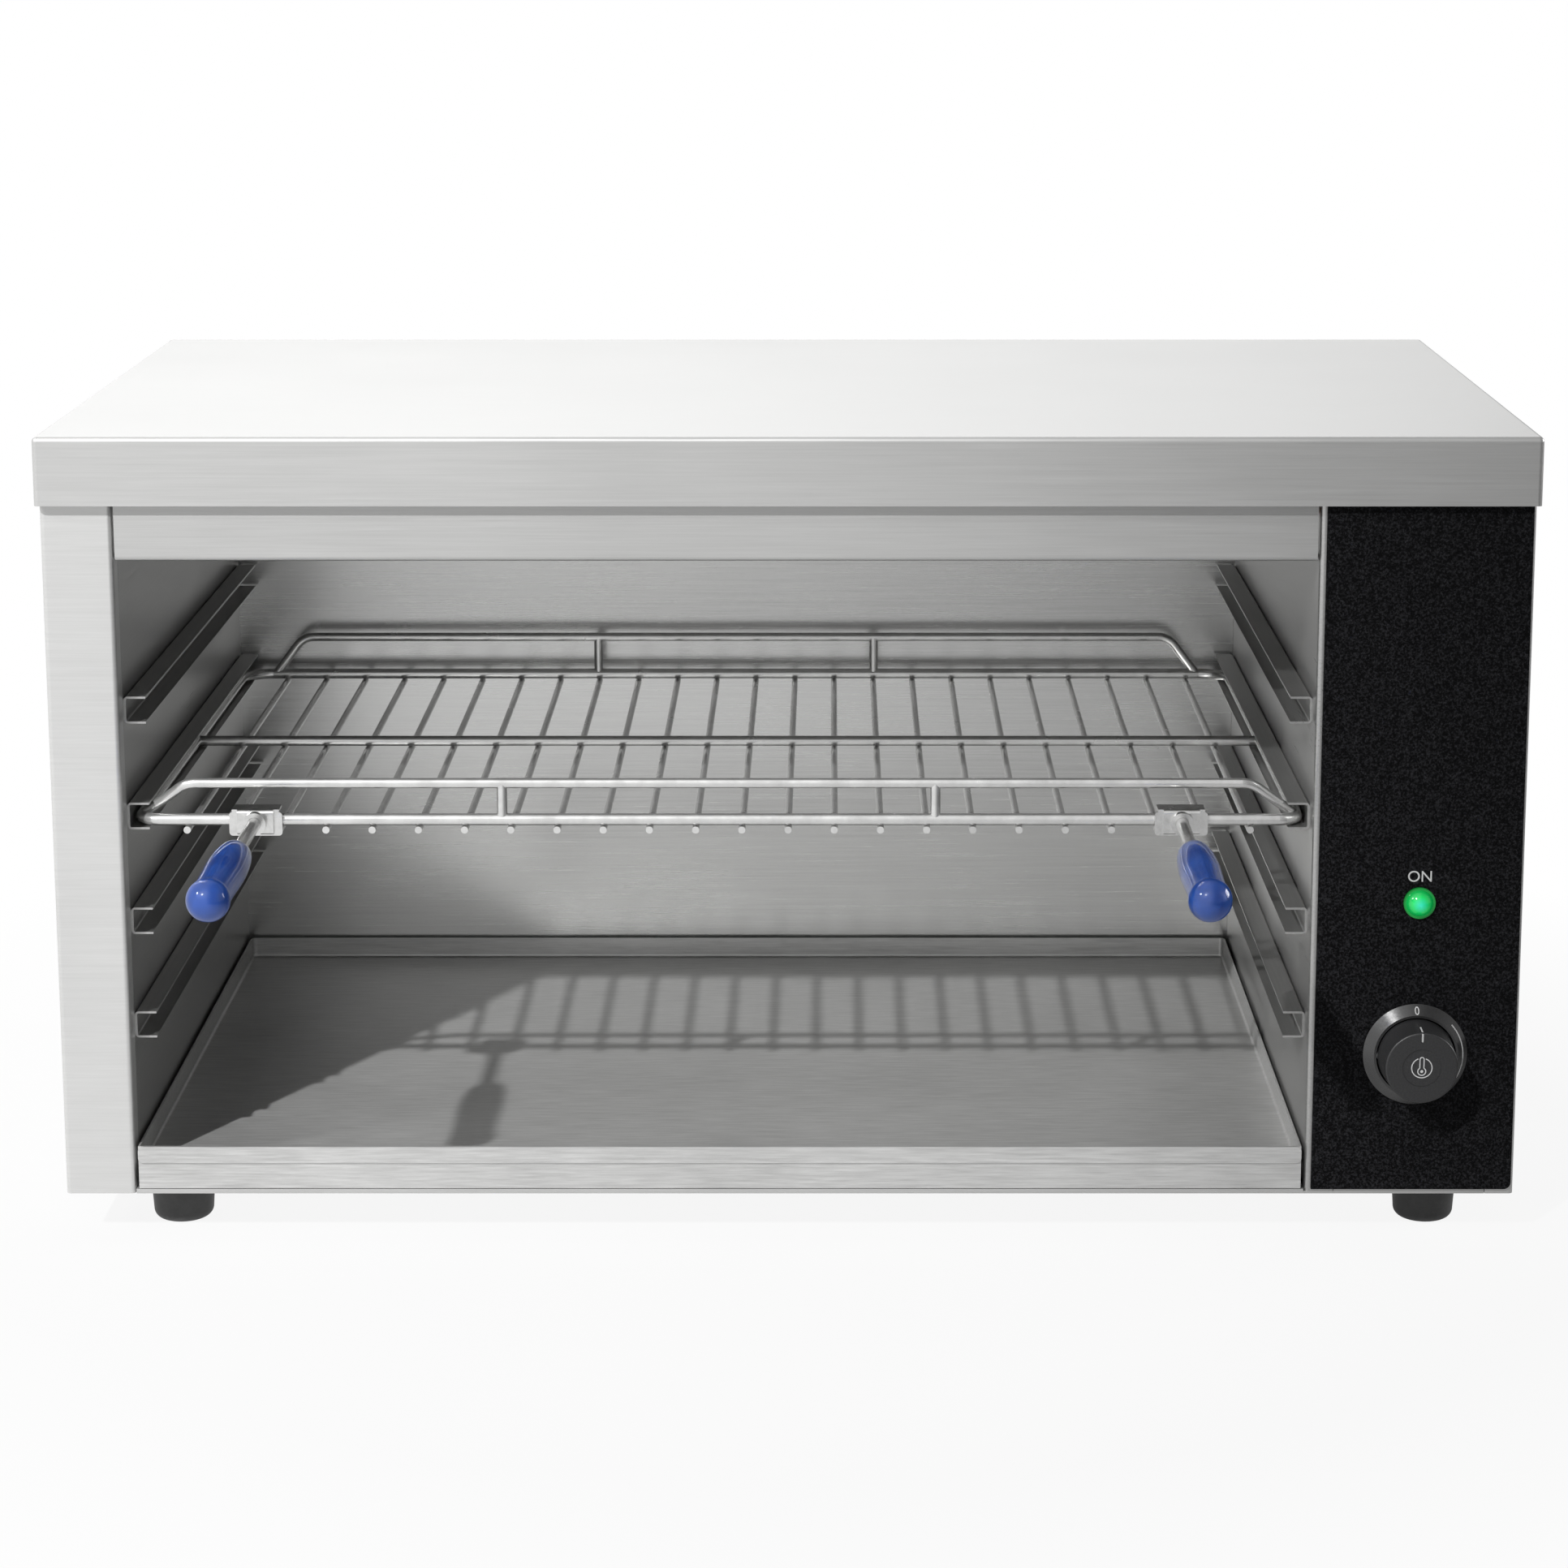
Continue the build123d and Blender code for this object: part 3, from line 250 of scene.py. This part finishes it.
core_blue, tree, shader = new_material("blue_moulded_core")
flow = add_node(tree, "ShaderNodeTexCoord").outputs["Object"]
swirl = add_node(tree, "ShaderNodeTexNoise", {"Vector": flow, "Scale": 1 / (14 * MM), "Detail": 2.0})
tone = add_node(tree, "ShaderNodeValToRGB", {"Fac": swirl.outputs["Fac"]})
tone.color_ramp.elements[0].position = 0.3
tone.color_ramp.elements[0].color = linear("#1a4a9e")
tone.color_ramp.elements[1].position = 0.7
tone.color_ramp.elements[1].color = linear("#2864c0")
tree.links.new(tone.outputs[0], shader.inputs["Base Color"])
shader.inputs["Roughness"].default_value = 0.35


def clear_selection():
    """Leaves object mode with nothing selected."""
    if bpy.context.object and bpy.context.object.mode == "EDIT":
        bpy.ops.object.mode_set(mode="OBJECT")
    bpy.ops.object.select_all(action="DESELECT")


def settle(name, material, body):
    """Names the active piece, puts its place into its mesh, and lets it ride on a body."""
    piece = bpy.context.object
    piece.name = piece.data.name = name
    bpy.ops.object.transform_apply(location=True, rotation=True, scale=True)
    piece.data.materials.clear()
    piece.data.materials.append(material)
    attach(piece, body)
    return piece


# Places along the grip, from the rod to the ball's tip, and the core's radius there in millimetres.
CORE_RINGS = (
    (0.03, 3.2),
    (0.11, 4.6),
    (0.33, 5.1),
    (0.6, 5.0),
    (0.8, 4.8),
    (0.84, 5.3),
    (0.89, 6.7),
    (0.94, 5.9),
    (0.97, 4.0),
)


def turned_along_y(rings, x, z):
    """A turned solid on an axis along Y at one x and z, through rings of (y, radius)."""
    clear_selection()
    bpy.ops.mesh.primitive_circle_add(
        vertices=32, radius=rings[0][1], fill_type="NGON", location=(x, rings[0][0], z), rotation=(math.pi / 2, 0, 0)
    )
    bpy.ops.object.transform_apply(location=True, rotation=True, scale=True)
    bpy.ops.object.mode_set(mode="EDIT")
    bpy.ops.mesh.select_all(action="SELECT")
    for (y, radius), (next_y, next_radius) in zip(rings, rings[1:]):
        bpy.ops.mesh.extrude_region_move(TRANSFORM_OT_translate={"value": (0, next_y - y, 0)})
        grow = next_radius / radius
        bpy.ops.transform.resize(value=(grow, 1, grow), center_override=(x, next_y, z))
    bpy.ops.mesh.select_all(action="SELECT")
    bpy.ops.mesh.normals_make_consistent(inside=False)
    bpy.ops.object.mode_set(mode="OBJECT")
    return bpy.context.object


for side in ("left", "right"):
    low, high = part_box(f"handle_grip_{side}")
    length = high.y - low.y
    centre = (low + high) / 2
    turned_along_y([(high.y - share * length, radius * MM) for share, radius in CORE_RINGS], centre.x, centre.z)
    bpy.ops.object.shade_smooth()
    core = settle(f"grip_core_{side}", core_blue, "rack")


# Control panel
# A steel plate with a textured black powder coat, screwed over the mouth of the control bay.
# Its markings are screen-printed in white.
powder_coat, tree, shader = new_material("black_powder_coat")
place = add_node(tree, "ShaderNodeTexCoord").outputs["Object"]
specks = add_node(
    tree, "ShaderNodeTexNoise", {"Vector": place, "Scale": 1 / (0.9 * MM), "Detail": 3.0, "Roughness": 0.7}
)
tone = add_node(tree, "ShaderNodeValToRGB", {"Fac": specks.outputs["Fac"]})
tone.color_ramp.elements[0].position = 0.45
tone.color_ramp.elements[0].color = linear("#0a0a0b")
tone.color_ramp.elements[1].position = 0.75
tone.color_ramp.elements[1].color = linear("#39393c")
relief = add_node(tree, "ShaderNodeBump", {"Height": specks.outputs["Fac"], "Strength": 0.35, "Distance": 0.1 * MM})
tree.links.new(tone.outputs[0], shader.inputs["Base Color"])
tree.links.new(relief.outputs[0], shader.inputs["Normal"])
shader.inputs["Roughness"].default_value = 0.55
shader.inputs["Specular IOR Level"].default_value = 0.05
dress(powder_coat, "control_panel")

white_ink, tree, shader = new_material("white_screen_ink")
place = add_node(tree, "ShaderNodeTexCoord").outputs["Object"]
film = add_node(tree, "ShaderNodeTexNoise", {"Vector": place, "Scale": 1 / (0.8 * MM), "Detail": 2.0})
tone = add_node(tree, "ShaderNodeValToRGB", {"Fac": film.outputs["Fac"]})
tone.color_ramp.elements[0].color = linear("#d2d2d2")
tone.color_ramp.elements[1].color = linear("#f4f4f4")
tree.links.new(tone.outputs[0], shader.inputs["Base Color"])
shader.inputs["Roughness"].default_value = 0.5

INK = 0.06 * MM
LABEL_HEIGHT = 6.6 * MM
LABEL_RISE = 11.0 * MM
lamp_low, lamp_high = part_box("lamp_lens")
lamp_centre = (lamp_low + lamp_high) / 2
panel_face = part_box("control_panel")[0].y


def print_on(piece, name, body, node=None, axis="y"):
    """Makes a flat outline a thin film of white ink, laid along an axis on a CAD node if one is named."""
    piece.select_set(True)
    bpy.context.view_layer.objects.active = piece
    bpy.ops.object.transform_apply(location=True, rotation=True, scale=True)
    if node:
        wrap = piece.modifiers.new("wrap", "SHRINKWRAP")
        wrap.target = nodes[node]
        wrap.wrap_method = "PROJECT"
        setattr(wrap, f"use_project_{axis}", True)
        wrap.use_negative_direction = True
        wrap.use_positive_direction = True
        wrap.offset = INK
        bpy.ops.object.modifier_apply(modifier=wrap.name)
    film = piece.modifiers.new("film", "SOLIDIFY")
    film.thickness = INK
    film.offset = -1.0
    bpy.ops.object.modifier_apply(modifier=film.name)
    settle(name, white_ink, body)


def flat_text(words, height, place):
    """Flat letters that face the front."""
    clear_selection()
    bpy.ops.object.text_add(location=place, rotation=(math.pi / 2, 0, 0))
    letters = bpy.context.object.data
    letters.body = words
    letters.size = height
    letters.align_x = "CENTER"
    letters.align_y = "CENTER"
    bpy.ops.object.convert(target="MESH")
    return bpy.context.object


print_on(
    flat_text("ON", LABEL_HEIGHT, (lamp_centre.x, panel_face - INK, lamp_centre.z + LABEL_RISE)),
    "lamp_marking",
    "casing",
)


# Indicator lamp
# A green polycarbonate lens snapped into the panel in front of a neon lamp.
# The lamp lights its middle, so its rim stays darker.
LENS_RADIUS = 6.6 * MM
lit_lens, tree, shader = new_material("lit_green_polycarbonate")
place = add_node(tree, "ShaderNodeTexCoord").outputs["Object"]
centred = add_node(
    tree,
    "ShaderNodeMapping",
    {"Vector": place, "Location": (-lamp_centre.x, 0.0, -lamp_centre.z), "Scale": (1, 0, 1)},
)
spread = add_node(tree, "ShaderNodeVectorMath", {0: centred.outputs[0]}, operation="LENGTH")
share = add_node(
    tree, "ShaderNodeMapRange", {"Value": spread.outputs["Value"], "From Min": 0.0, "From Max": LENS_RADIUS}
)
glow = add_node(tree, "ShaderNodeValToRGB", {"Fac": share.outputs[0]})
glow.color_ramp.elements[0].color = linear("#36e7c2")
glow.color_ramp.elements[1].color = linear("#037a2c")
middle = glow.color_ramp.elements.new(0.5)
middle.color = linear("#12d968")
tree.links.new(glow.outputs[0], shader.inputs["Base Color"])
tree.links.new(glow.outputs[0], shader.inputs["Emission Color"])
shader.inputs["Emission Strength"].default_value = 0.33
shader.inputs["Roughness"].default_value = 0.12
shader.inputs["IOR"].default_value = 1.58
dress(lit_lens, "lamp_lens")


# Dial ring
# A conical ring of black ABS round the knob, spark-eroded to a fine matt grain and pad-printed in white.
# The plain 0 marks the thermostat's off position, and the arc its range.
moulded_abs = worn_surface("moulded_black_abs", "#1a1a1b", "#262627", 0.9, (0.14, 0.24), 0.0)
ring_gloss = moulded_abs.node_tree.nodes["Principled BSDF"].inputs
ring_gloss["Coat Weight"].default_value = 1.0
ring_gloss["Coat Roughness"].default_value = 0.25
dress(moulded_abs, "knob_bezel")

ring_low, ring_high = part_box("knob_bezel")
knob_axis = (ring_low + ring_high) / 2
ring_front = ring_low.y - MM
ZERO_HEIGHT = 4.2 * MM
ZERO_RADIUS = 19.2 * MM
ARC_RADIUS = 19.9 * MM
ARC_WIDTH = 0.45 * MM
ARC_START = 46
ARC_END = 188


def face_front(outline):
    """Turns a flat outline's faces to the front."""
    bpy.ops.object.mode_set(mode="EDIT")
    bpy.ops.mesh.select_all(action="SELECT")
    if outline.data.polygons[0].normal.y > 0:
        bpy.ops.mesh.flip_normals()
    bpy.ops.object.mode_set(mode="OBJECT")


def flat_ring(radius, width, place, first, last):
    """A flat line round a centre, facing the front, from one clockwise angle from the top to another."""
    clear_selection()
    bpy.ops.mesh.primitive_circle_add(vertices=180, radius=radius, location=place, rotation=(math.pi / 2, 0, 0))
    bpy.ops.object.transform_apply(location=True, rotation=True, scale=True)
    line = bpy.context.object
    bpy.ops.object.mode_set(mode="EDIT")
    bpy.ops.mesh.select_all(action="DESELECT")
    bpy.ops.object.mode_set(mode="OBJECT")
    for vertex in line.data.vertices:
        angle = math.degrees(math.atan2(vertex.co.x - place[0], vertex.co.z - place[2])) % 360
        vertex.select = (angle - first) % 360 > last - first
    bpy.ops.object.mode_set(mode="EDIT")
    bpy.ops.mesh.delete(type="VERT")
    bpy.ops.mesh.select_all(action="SELECT")
    bpy.ops.mesh.extrude_edges_move()
    grow = (radius - width) / radius
    bpy.ops.transform.resize(value=(grow, 1, grow), center_override=place)
    bpy.ops.object.mode_set(mode="OBJECT")
    face_front(line)
    return line


print_on(
    flat_text("0", ZERO_HEIGHT, (knob_axis.x, ring_front, knob_axis.z + ZERO_RADIUS)),
    "dial_zero",
    "casing",
    "knob_bezel",
)
print_on(
    flat_ring(ARC_RADIUS, ARC_WIDTH, (knob_axis.x, ring_front, knob_axis.z), ARC_START, ARC_END),
    "dial_arc",
    "casing",
    "knob_bezel",
)


# Knob
# An ABS moulding pushed on the thermostat's D-shaped shaft, with a pointer groove filled with white paint.
# A thermometer sign is pad-printed in the shallow recess of its face.
knob_abs = worn_surface("moulded_grey_abs", "#2c2c2d", "#363637", 0.7, (0.34, 0.44), 0.0)
dress(knob_abs, "knob")

knob_low, knob_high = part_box("knob")
FACE_RECESS = 0.4 * MM
FACE_RADIUS = 15 * MM
STROKE = 0.42 * MM
SIGN_RADIUS = 4.4 * MM
SIGN_GAP = 22
BULB_RADIUS = 1.85 * MM
BULB_DROP = 1.5 * MM
DOT_RADIUS = 0.62 * MM
DOT_WIDTH = 0.58 * MM
STEM_HALF = 1.05 * MM
STEM_TOP = 3.7 * MM
POINTER_SIZE = (0.8 * MM, 3.6 * MM)
POINTER_INSET = 2.2 * MM
SIDE_POINTER_SIZE = (0.6 * MM, 6.0 * MM)
SIDE_POINTER_INSET = 4.2 * MM
recess_y = knob_low.y + FACE_RECESS - INK


def flat_bar(width, height, place):
    """A flat bar that faces the front."""
    clear_selection()
    bpy.ops.mesh.primitive_plane_add(size=1, location=place, rotation=(math.pi / 2, 0, 0))
    bpy.ops.transform.resize(value=(width, 1, height))
    bpy.ops.object.transform_apply(location=True, rotation=True, scale=True)
    bar = bpy.context.object
    bpy.ops.object.mode_set(mode="EDIT")
    bpy.ops.mesh.subdivide(number_cuts=6)
    bpy.ops.object.mode_set(mode="OBJECT")
    face_front(bar)
    return bar


sign_x, sign_z = knob_axis.x, knob_axis.z
bulb_z = sign_z - BULB_DROP
neck_angle = math.degrees(math.asin(STEM_HALF / BULB_RADIUS))
stem_low = bulb_z + BULB_RADIUS * math.cos(math.radians(neck_angle)) - STROKE / 2
stem_high = sign_z + STEM_TOP
sign = [
    flat_ring(SIGN_RADIUS, STROKE, (sign_x, recess_y, sign_z), SIGN_GAP, 360 - SIGN_GAP),
    flat_ring(BULB_RADIUS, STROKE, (sign_x, recess_y, bulb_z), neck_angle - 4, 364 - neck_angle),
    flat_ring(DOT_RADIUS, DOT_WIDTH, (sign_x, recess_y, bulb_z), 0, 360),
    flat_ring(STEM_HALF, STROKE, (sign_x, recess_y, stem_high), -90, 90),
]
for side in (-1, 1):
    stem_x = sign_x + side * (STEM_HALF - STROKE / 2)
    sign.append(flat_bar(STROKE, stem_high - stem_low, (stem_x, recess_y, (stem_high + stem_low) / 2)))
clear_selection()
for stroke in sign:
    stroke.select_set(True)
bpy.context.view_layer.objects.active = sign[0]
bpy.ops.object.join()
print_on(sign[0], "thermometer_sign", "knob")

pointer_z = sign_z + FACE_RADIUS - POINTER_INSET
print_on(flat_bar(*POINTER_SIZE, (sign_x, knob_low.y - MM, pointer_z)), "pointer_paint", "knob", "knob")
clear_selection()
bpy.ops.mesh.primitive_plane_add(size=1, location=(sign_x, knob_low.y + SIDE_POINTER_INSET, knob_high.z + MM))
bpy.ops.transform.resize(value=(*SIDE_POINTER_SIZE, 1))
bpy.ops.object.mode_set(mode="EDIT")
bpy.ops.mesh.subdivide(number_cuts=6)
bpy.ops.object.mode_set(mode="OBJECT")
print_on(bpy.context.object, "pointer_side_paint", "knob", "knob", "z")


# Hidden fittings of the control bay
# The thermostat, its copper sensor line, the leads and the zinc-plated hardware are bought parts.
# They are screwed or clipped in place and show only through the vents.
drawn_copper = worn_surface("drawn_copper", "#8f5a3c", "#b0744f", 8, (0.28, 0.42), 1.0)
dress(drawn_copper, "sensor_capillary", "sensor_bulb")
silicone_lead = worn_surface("silicone_lead", "#7d3a28", "#93482f", 5, (0.5, 0.62), 0.0)
dress(silicone_lead, "inner_wiring")
moulded_nylon = worn_surface("moulded_black_nylon", "#161617", "#212122", 1.2, (0.4, 0.52), 0.0)
dress(moulded_nylon, "lamp_body", "thermostat_body", "cable_gland", "gland_nut")
zinc_plate = worn_surface("zinc_plated_steel", "#9fa1a3", "#bcbec0", 3, (0.25, 0.4), 1.0)
dress(zinc_plate, "thermostat_shaft", "thermostat_screws", "foot_screws")


# Case screws
# Zinc-plated pan-head screws with a cross recess, driven through the back and the lid's rear skirt.
# They are taken out to reach the wiring.
SCREW_RINGS = ((-8.0, 1.4), (-7.2, 1.9), (0.0, 1.9), (0.0, 3.4), (0.5, 3.4), (1.0, 3.1), (1.3, 2.4), (1.4, 1.4))
RECESS_ARM = 3.6 * MM
RECESS_WIDTH = 0.75 * MM
RECESS_DEPTH = 0.9 * MM
HEAD_HEIGHT = SCREW_RINGS[-1][0] * MM
HEAD_RADIUS = 3.4 * MM
PARTITION_COLUMN = 224 * MM
EDGE_ANGLE = math.radians(40)

pan_head = turned_along_y([(y * MM, radius * MM) for y, radius in SCREW_RINGS], 0, 0)
for width, height in ((RECESS_ARM, RECESS_WIDTH), (RECESS_WIDTH, RECESS_ARM)):
    clear_selection()
    bpy.ops.mesh.primitive_cube_add(size=1, location=(0, HEAD_HEIGHT, 0), scale=(width, 2 * RECESS_DEPTH, height))
    punch = bpy.context.object
    clear_selection()
    pan_head.select_set(True)
    bpy.context.view_layer.objects.active = pan_head
    recess = pan_head.modifiers.new("recess", "BOOLEAN")
    recess.operation = "DIFFERENCE"
    recess.object = punch
    bpy.ops.object.modifier_apply(modifier=recess.name)
    bpy.data.objects.remove(punch)
bpy.ops.object.shade_smooth_by_angle(angle=EDGE_ANGLE)


def copies_in_place(pattern, places):
    """Copies a piece to each place, and joins the copies into one active piece."""
    made = []
    for place in places:
        clear_selection()
        pattern.select_set(True)
        bpy.context.view_layer.objects.active = pattern
        bpy.ops.object.duplicate()
        bpy.context.object.location = place
        made.append(bpy.context.object)
    for piece in made:
        piece.select_set(True)
    bpy.ops.object.join()


def case_screws(node, name, places):
    """One piece for a node's screws, set on the face under their heads."""
    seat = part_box(node)[1].y - HEAD_HEIGHT
    copies_in_place(pan_head, [(x, seat, z) for x, z in places])
    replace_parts(settle(name, zinc_plate, "casing"), node)


low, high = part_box("back_panel_screws")
columns = (low.x + HEAD_RADIUS, high.x - HEAD_RADIUS, PARTITION_COLUMN)
rows = (low.z + HEAD_RADIUS, (low.z + high.z) / 2, high.z - HEAD_RADIUS)
case_screws("back_panel_screws", "cross_recess_back_screws", [(x, z) for x in columns for z in rows])
low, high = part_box("lid_screws")
middle = (low + high) / 2
case_screws(
    "lid_screws",
    "cross_recess_lid_screws",
    [(x, middle.z) for x in (low.x + HEAD_RADIUS, middle.x, high.x - HEAD_RADIUS)],
)
bpy.data.objects.remove(pan_head)


# Cable gland
# A nylon gland clamps the mains lead at the back.
# The ribs moulded on its cap give a grip to the fingers.
gland_low, gland_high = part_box("cable_gland")
gland_axis = (gland_low + gland_high) / 2
CAP_RADIUS = 9.5 * MM
RIB_COUNT = 18
RIB_RINGS = ((7.4, 0.5), (7.1, 0.8), (2.9, 0.8), (2.5, 0.5))
rib = turned_along_y([(gland_high.y - y * MM, radius * MM) for y, radius in RIB_RINGS], 0, 0)
bpy.ops.object.shade_smooth_by_angle(angle=EDGE_ANGLE)
turns = [2 * math.pi * step / RIB_COUNT for step in range(RIB_COUNT)]
copies_in_place(
    rib, [(gland_axis.x + CAP_RADIUS * math.cos(t), 0, gland_axis.z + CAP_RADIUS * math.sin(t)) for t in turns]
)
settle("gland_cap_ribs", moulded_nylon, "casing")
bpy.data.objects.remove(rib)


# Feet
# Moulded black rubber, tapered, with a soft lower edge.
# A screw up through the middle holds each one to the base.
foot_rubber = worn_surface("moulded_rubber", "#363636", "#484848", 7, (0.5, 0.68), 0.0)
dress(foot_rubber, "foot_front_left", "foot_front_right", "foot_rear_left", "foot_rear_right")


# Floor and backdrop
# A seamless sweep of white paper under the grill, and a white room round it.
# It takes the grill's shadow and shows white in the steel.
clear_selection()
bpy.ops.mesh.primitive_plane_add(size=14)
floor = bpy.context.object
floor.name = "studio_floor"
floor_white = bpy.data.materials.new("white_studio_floor")
floor_white.use_nodes = True
tree = floor_white.node_tree
tree.nodes.clear()
rays = add_node(tree, "ShaderNodeLightPath")
seen = add_node(
    tree,
    "ShaderNodeMath",
    {0: rays.outputs["Is Camera Ray"], 1: rays.outputs["Is Glossy Ray"]},
    operation="MAXIMUM",
)
shown = add_node(
    tree, "ShaderNodeMath", {0: seen.outputs[0], 1: rays.outputs["Is Transmission Ray"]}, operation="MAXIMUM"
)
spot = add_node(tree, "ShaderNodeTexCoord").outputs["Object"]
reach = add_node(tree, "ShaderNodeVectorMath", {0: spot}, operation="LENGTH")
fade = add_node(
    tree,
    "ShaderNodeMapRange",
    {"Value": reach.outputs["Value"], "From Min": 0.36, "From Max": 0.62, "To Min": 0.9, "To Max": 1.0},
)
lift = add_node(tree, "ShaderNodeMath", {0: shown.outputs[0], 1: fade.outputs[0]}, operation="MULTIPLY")
paper = add_node(tree, "ShaderNodeBsdfDiffuse", {"Color": linear("#cfcfcf")})
spot_axes = add_node(tree, "ShaderNodeSeparateXYZ", {"Vector": spot})
dim = add_node(
    tree,
    "ShaderNodeMapRange",
    {"Value": spot_axes.outputs["X"], "From Min": -0.3, "From Max": 0.8, "To Min": 1.0, "To Max": 0.1},
    interpolation_type="SMOOTHSTEP",
)
glow = add_node(
    tree,
    "ShaderNodeMix",
    {"Factor": rays.outputs["Is Camera Ray"], "A": dim.outputs[0], "B": 1.0},
    data_type="FLOAT",
)
white = add_node(tree, "ShaderNodeEmission", {"Color": linear("#ffffff"), "Strength": glow.outputs[0]})
blend = add_node(
    tree, "ShaderNodeMixShader", {"Fac": lift.outputs[0], 1: paper.outputs[0], 2: white.outputs[0]}
)
add_node(tree, "ShaderNodeOutputMaterial", {"Surface": blend.outputs[0]})
floor.data.materials.append(floor_white)

world = bpy.data.worlds.new("studio_world")
bpy.context.scene.world = world
world.use_nodes = True
tree = world.node_tree
tree.nodes.clear()
rays = add_node(tree, "ShaderNodeLightPath")
heading = add_node(tree, "ShaderNodeTexCoord").outputs["Generated"]
axes = add_node(tree, "ShaderNodeSeparateXYZ", {"Vector": heading})
across = add_node(tree, "ShaderNodeMapRange", {"Value": axes.outputs["X"], "From Min": -1.0, "From Max": 1.0})
fall = add_node(tree, "ShaderNodeValToRGB", {"Fac": across.outputs[0]})
fall.color_ramp.elements[0].position = 0.46
fall.color_ramp.elements[0].color = (1.0, 1.0, 1.0, 1.0)
fall.color_ramp.elements[1].position = 1.0
fall.color_ramp.elements[1].color = (0.55, 0.55, 0.55, 1.0)
for position in (0.66, 0.78):
    fall.color_ramp.elements.new(position).color = (0.3, 0.3, 0.3, 1.0)
mirrored = add_node(
    tree,
    "ShaderNodeMath",
    {0: rays.outputs["Is Glossy Ray"], 1: rays.outputs["Is Transmission Ray"]},
    operation="MAXIMUM",
)
level = add_node(
    tree, "ShaderNodeMix", {"Factor": mirrored.outputs[0], "A": 0.14, "B": fall.outputs[0]}, data_type="FLOAT"
)
shown = add_node(
    tree,
    "ShaderNodeMix",
    {"Factor": rays.outputs["Is Camera Ray"], "A": level.outputs[0], "B": 1.0},
    data_type="FLOAT",
)
sky = add_node(tree, "ShaderNodeBackground", {"Color": linear("#ffffff"), "Strength": shown.outputs[0]})
add_node(tree, "ShaderNodeOutputWorld", {"Surface": sky.outputs[0]})


# Lights
# A hard key from the front left draws the rack's shadow and fades to the right.
# Soft boxes fill the front, the lid and the right side.
def aim(lamp, target):
    """Turns a lamp to face a point."""
    lamp.rotation_euler = (Vector(target) - lamp.location).to_track_quat("-Z", "Y").to_euler()


grill_middle = Vector((0.0, 0.05, 0.17))
bpy.ops.object.light_add(type="SPOT", location=(-2.24, -3.82, 3.7))
key = bpy.context.object
key.name = "key_light"
key.data.energy = 1480
key.data.shadow_soft_size = 0.065
key.data.spot_size = math.radians(19.9)
key.data.spot_blend = 1.0
aim(key, grill_middle + Vector((-0.45, 0.0, 0.0)))

bpy.ops.object.light_add(type="AREA", location=(-1.9, -1.0, 1.6))
front_box = bpy.context.object
front_box.name = "front_soft_box"
front_box.data.shape = "RECTANGLE"
front_box.data.size = 0.3
front_box.data.size_y = 0.35
front_box.data.energy = 11
aim(front_box, grill_middle)

bpy.ops.object.light_add(type="AREA", location=(-0.35, 1.6, 1.2))
lid_box = bpy.context.object
lid_box.name = "lid_soft_box"
lid_box.data.shape = "RECTANGLE"
lid_box.data.size = 2.4
lid_box.data.size_y = 1.0
lid_box.data.energy = 8.9
aim(lid_box, (0.0, 0.05, 0.34))

bpy.ops.object.light_add(type="AREA", location=(2.6, 0.75, 0.9))
side_box = bpy.context.object
side_box.name = "side_soft_box"
side_box.data.shape = "RECTANGLE"
side_box.data.size = 1.2
side_box.data.size_y = 1.0
side_box.data.energy = 30
aim(side_box, (0.3, 0.05, 0.17))
for lamp in (front_box, lid_box, side_box):
    lamp.visible_camera = False


# Camera
# It looks down on the lid and into the cavity, from a little to the right of the middle.
# A small shift keeps the casing's sides nearly upright.
bpy.ops.object.camera_add(location=(0.0175, -1.638, 0.5643), rotation=(math.pi / 2 - 0.1948, 0, 0))
camera = bpy.context.object
camera.data.lens = 87.77
camera.data.sensor_width = 36
camera.data.shift_x = -0.0302
camera.data.shift_y = -0.1
bpy.context.scene.camera = camera
bpy.context.scene.view_settings.view_transform = "Standard"
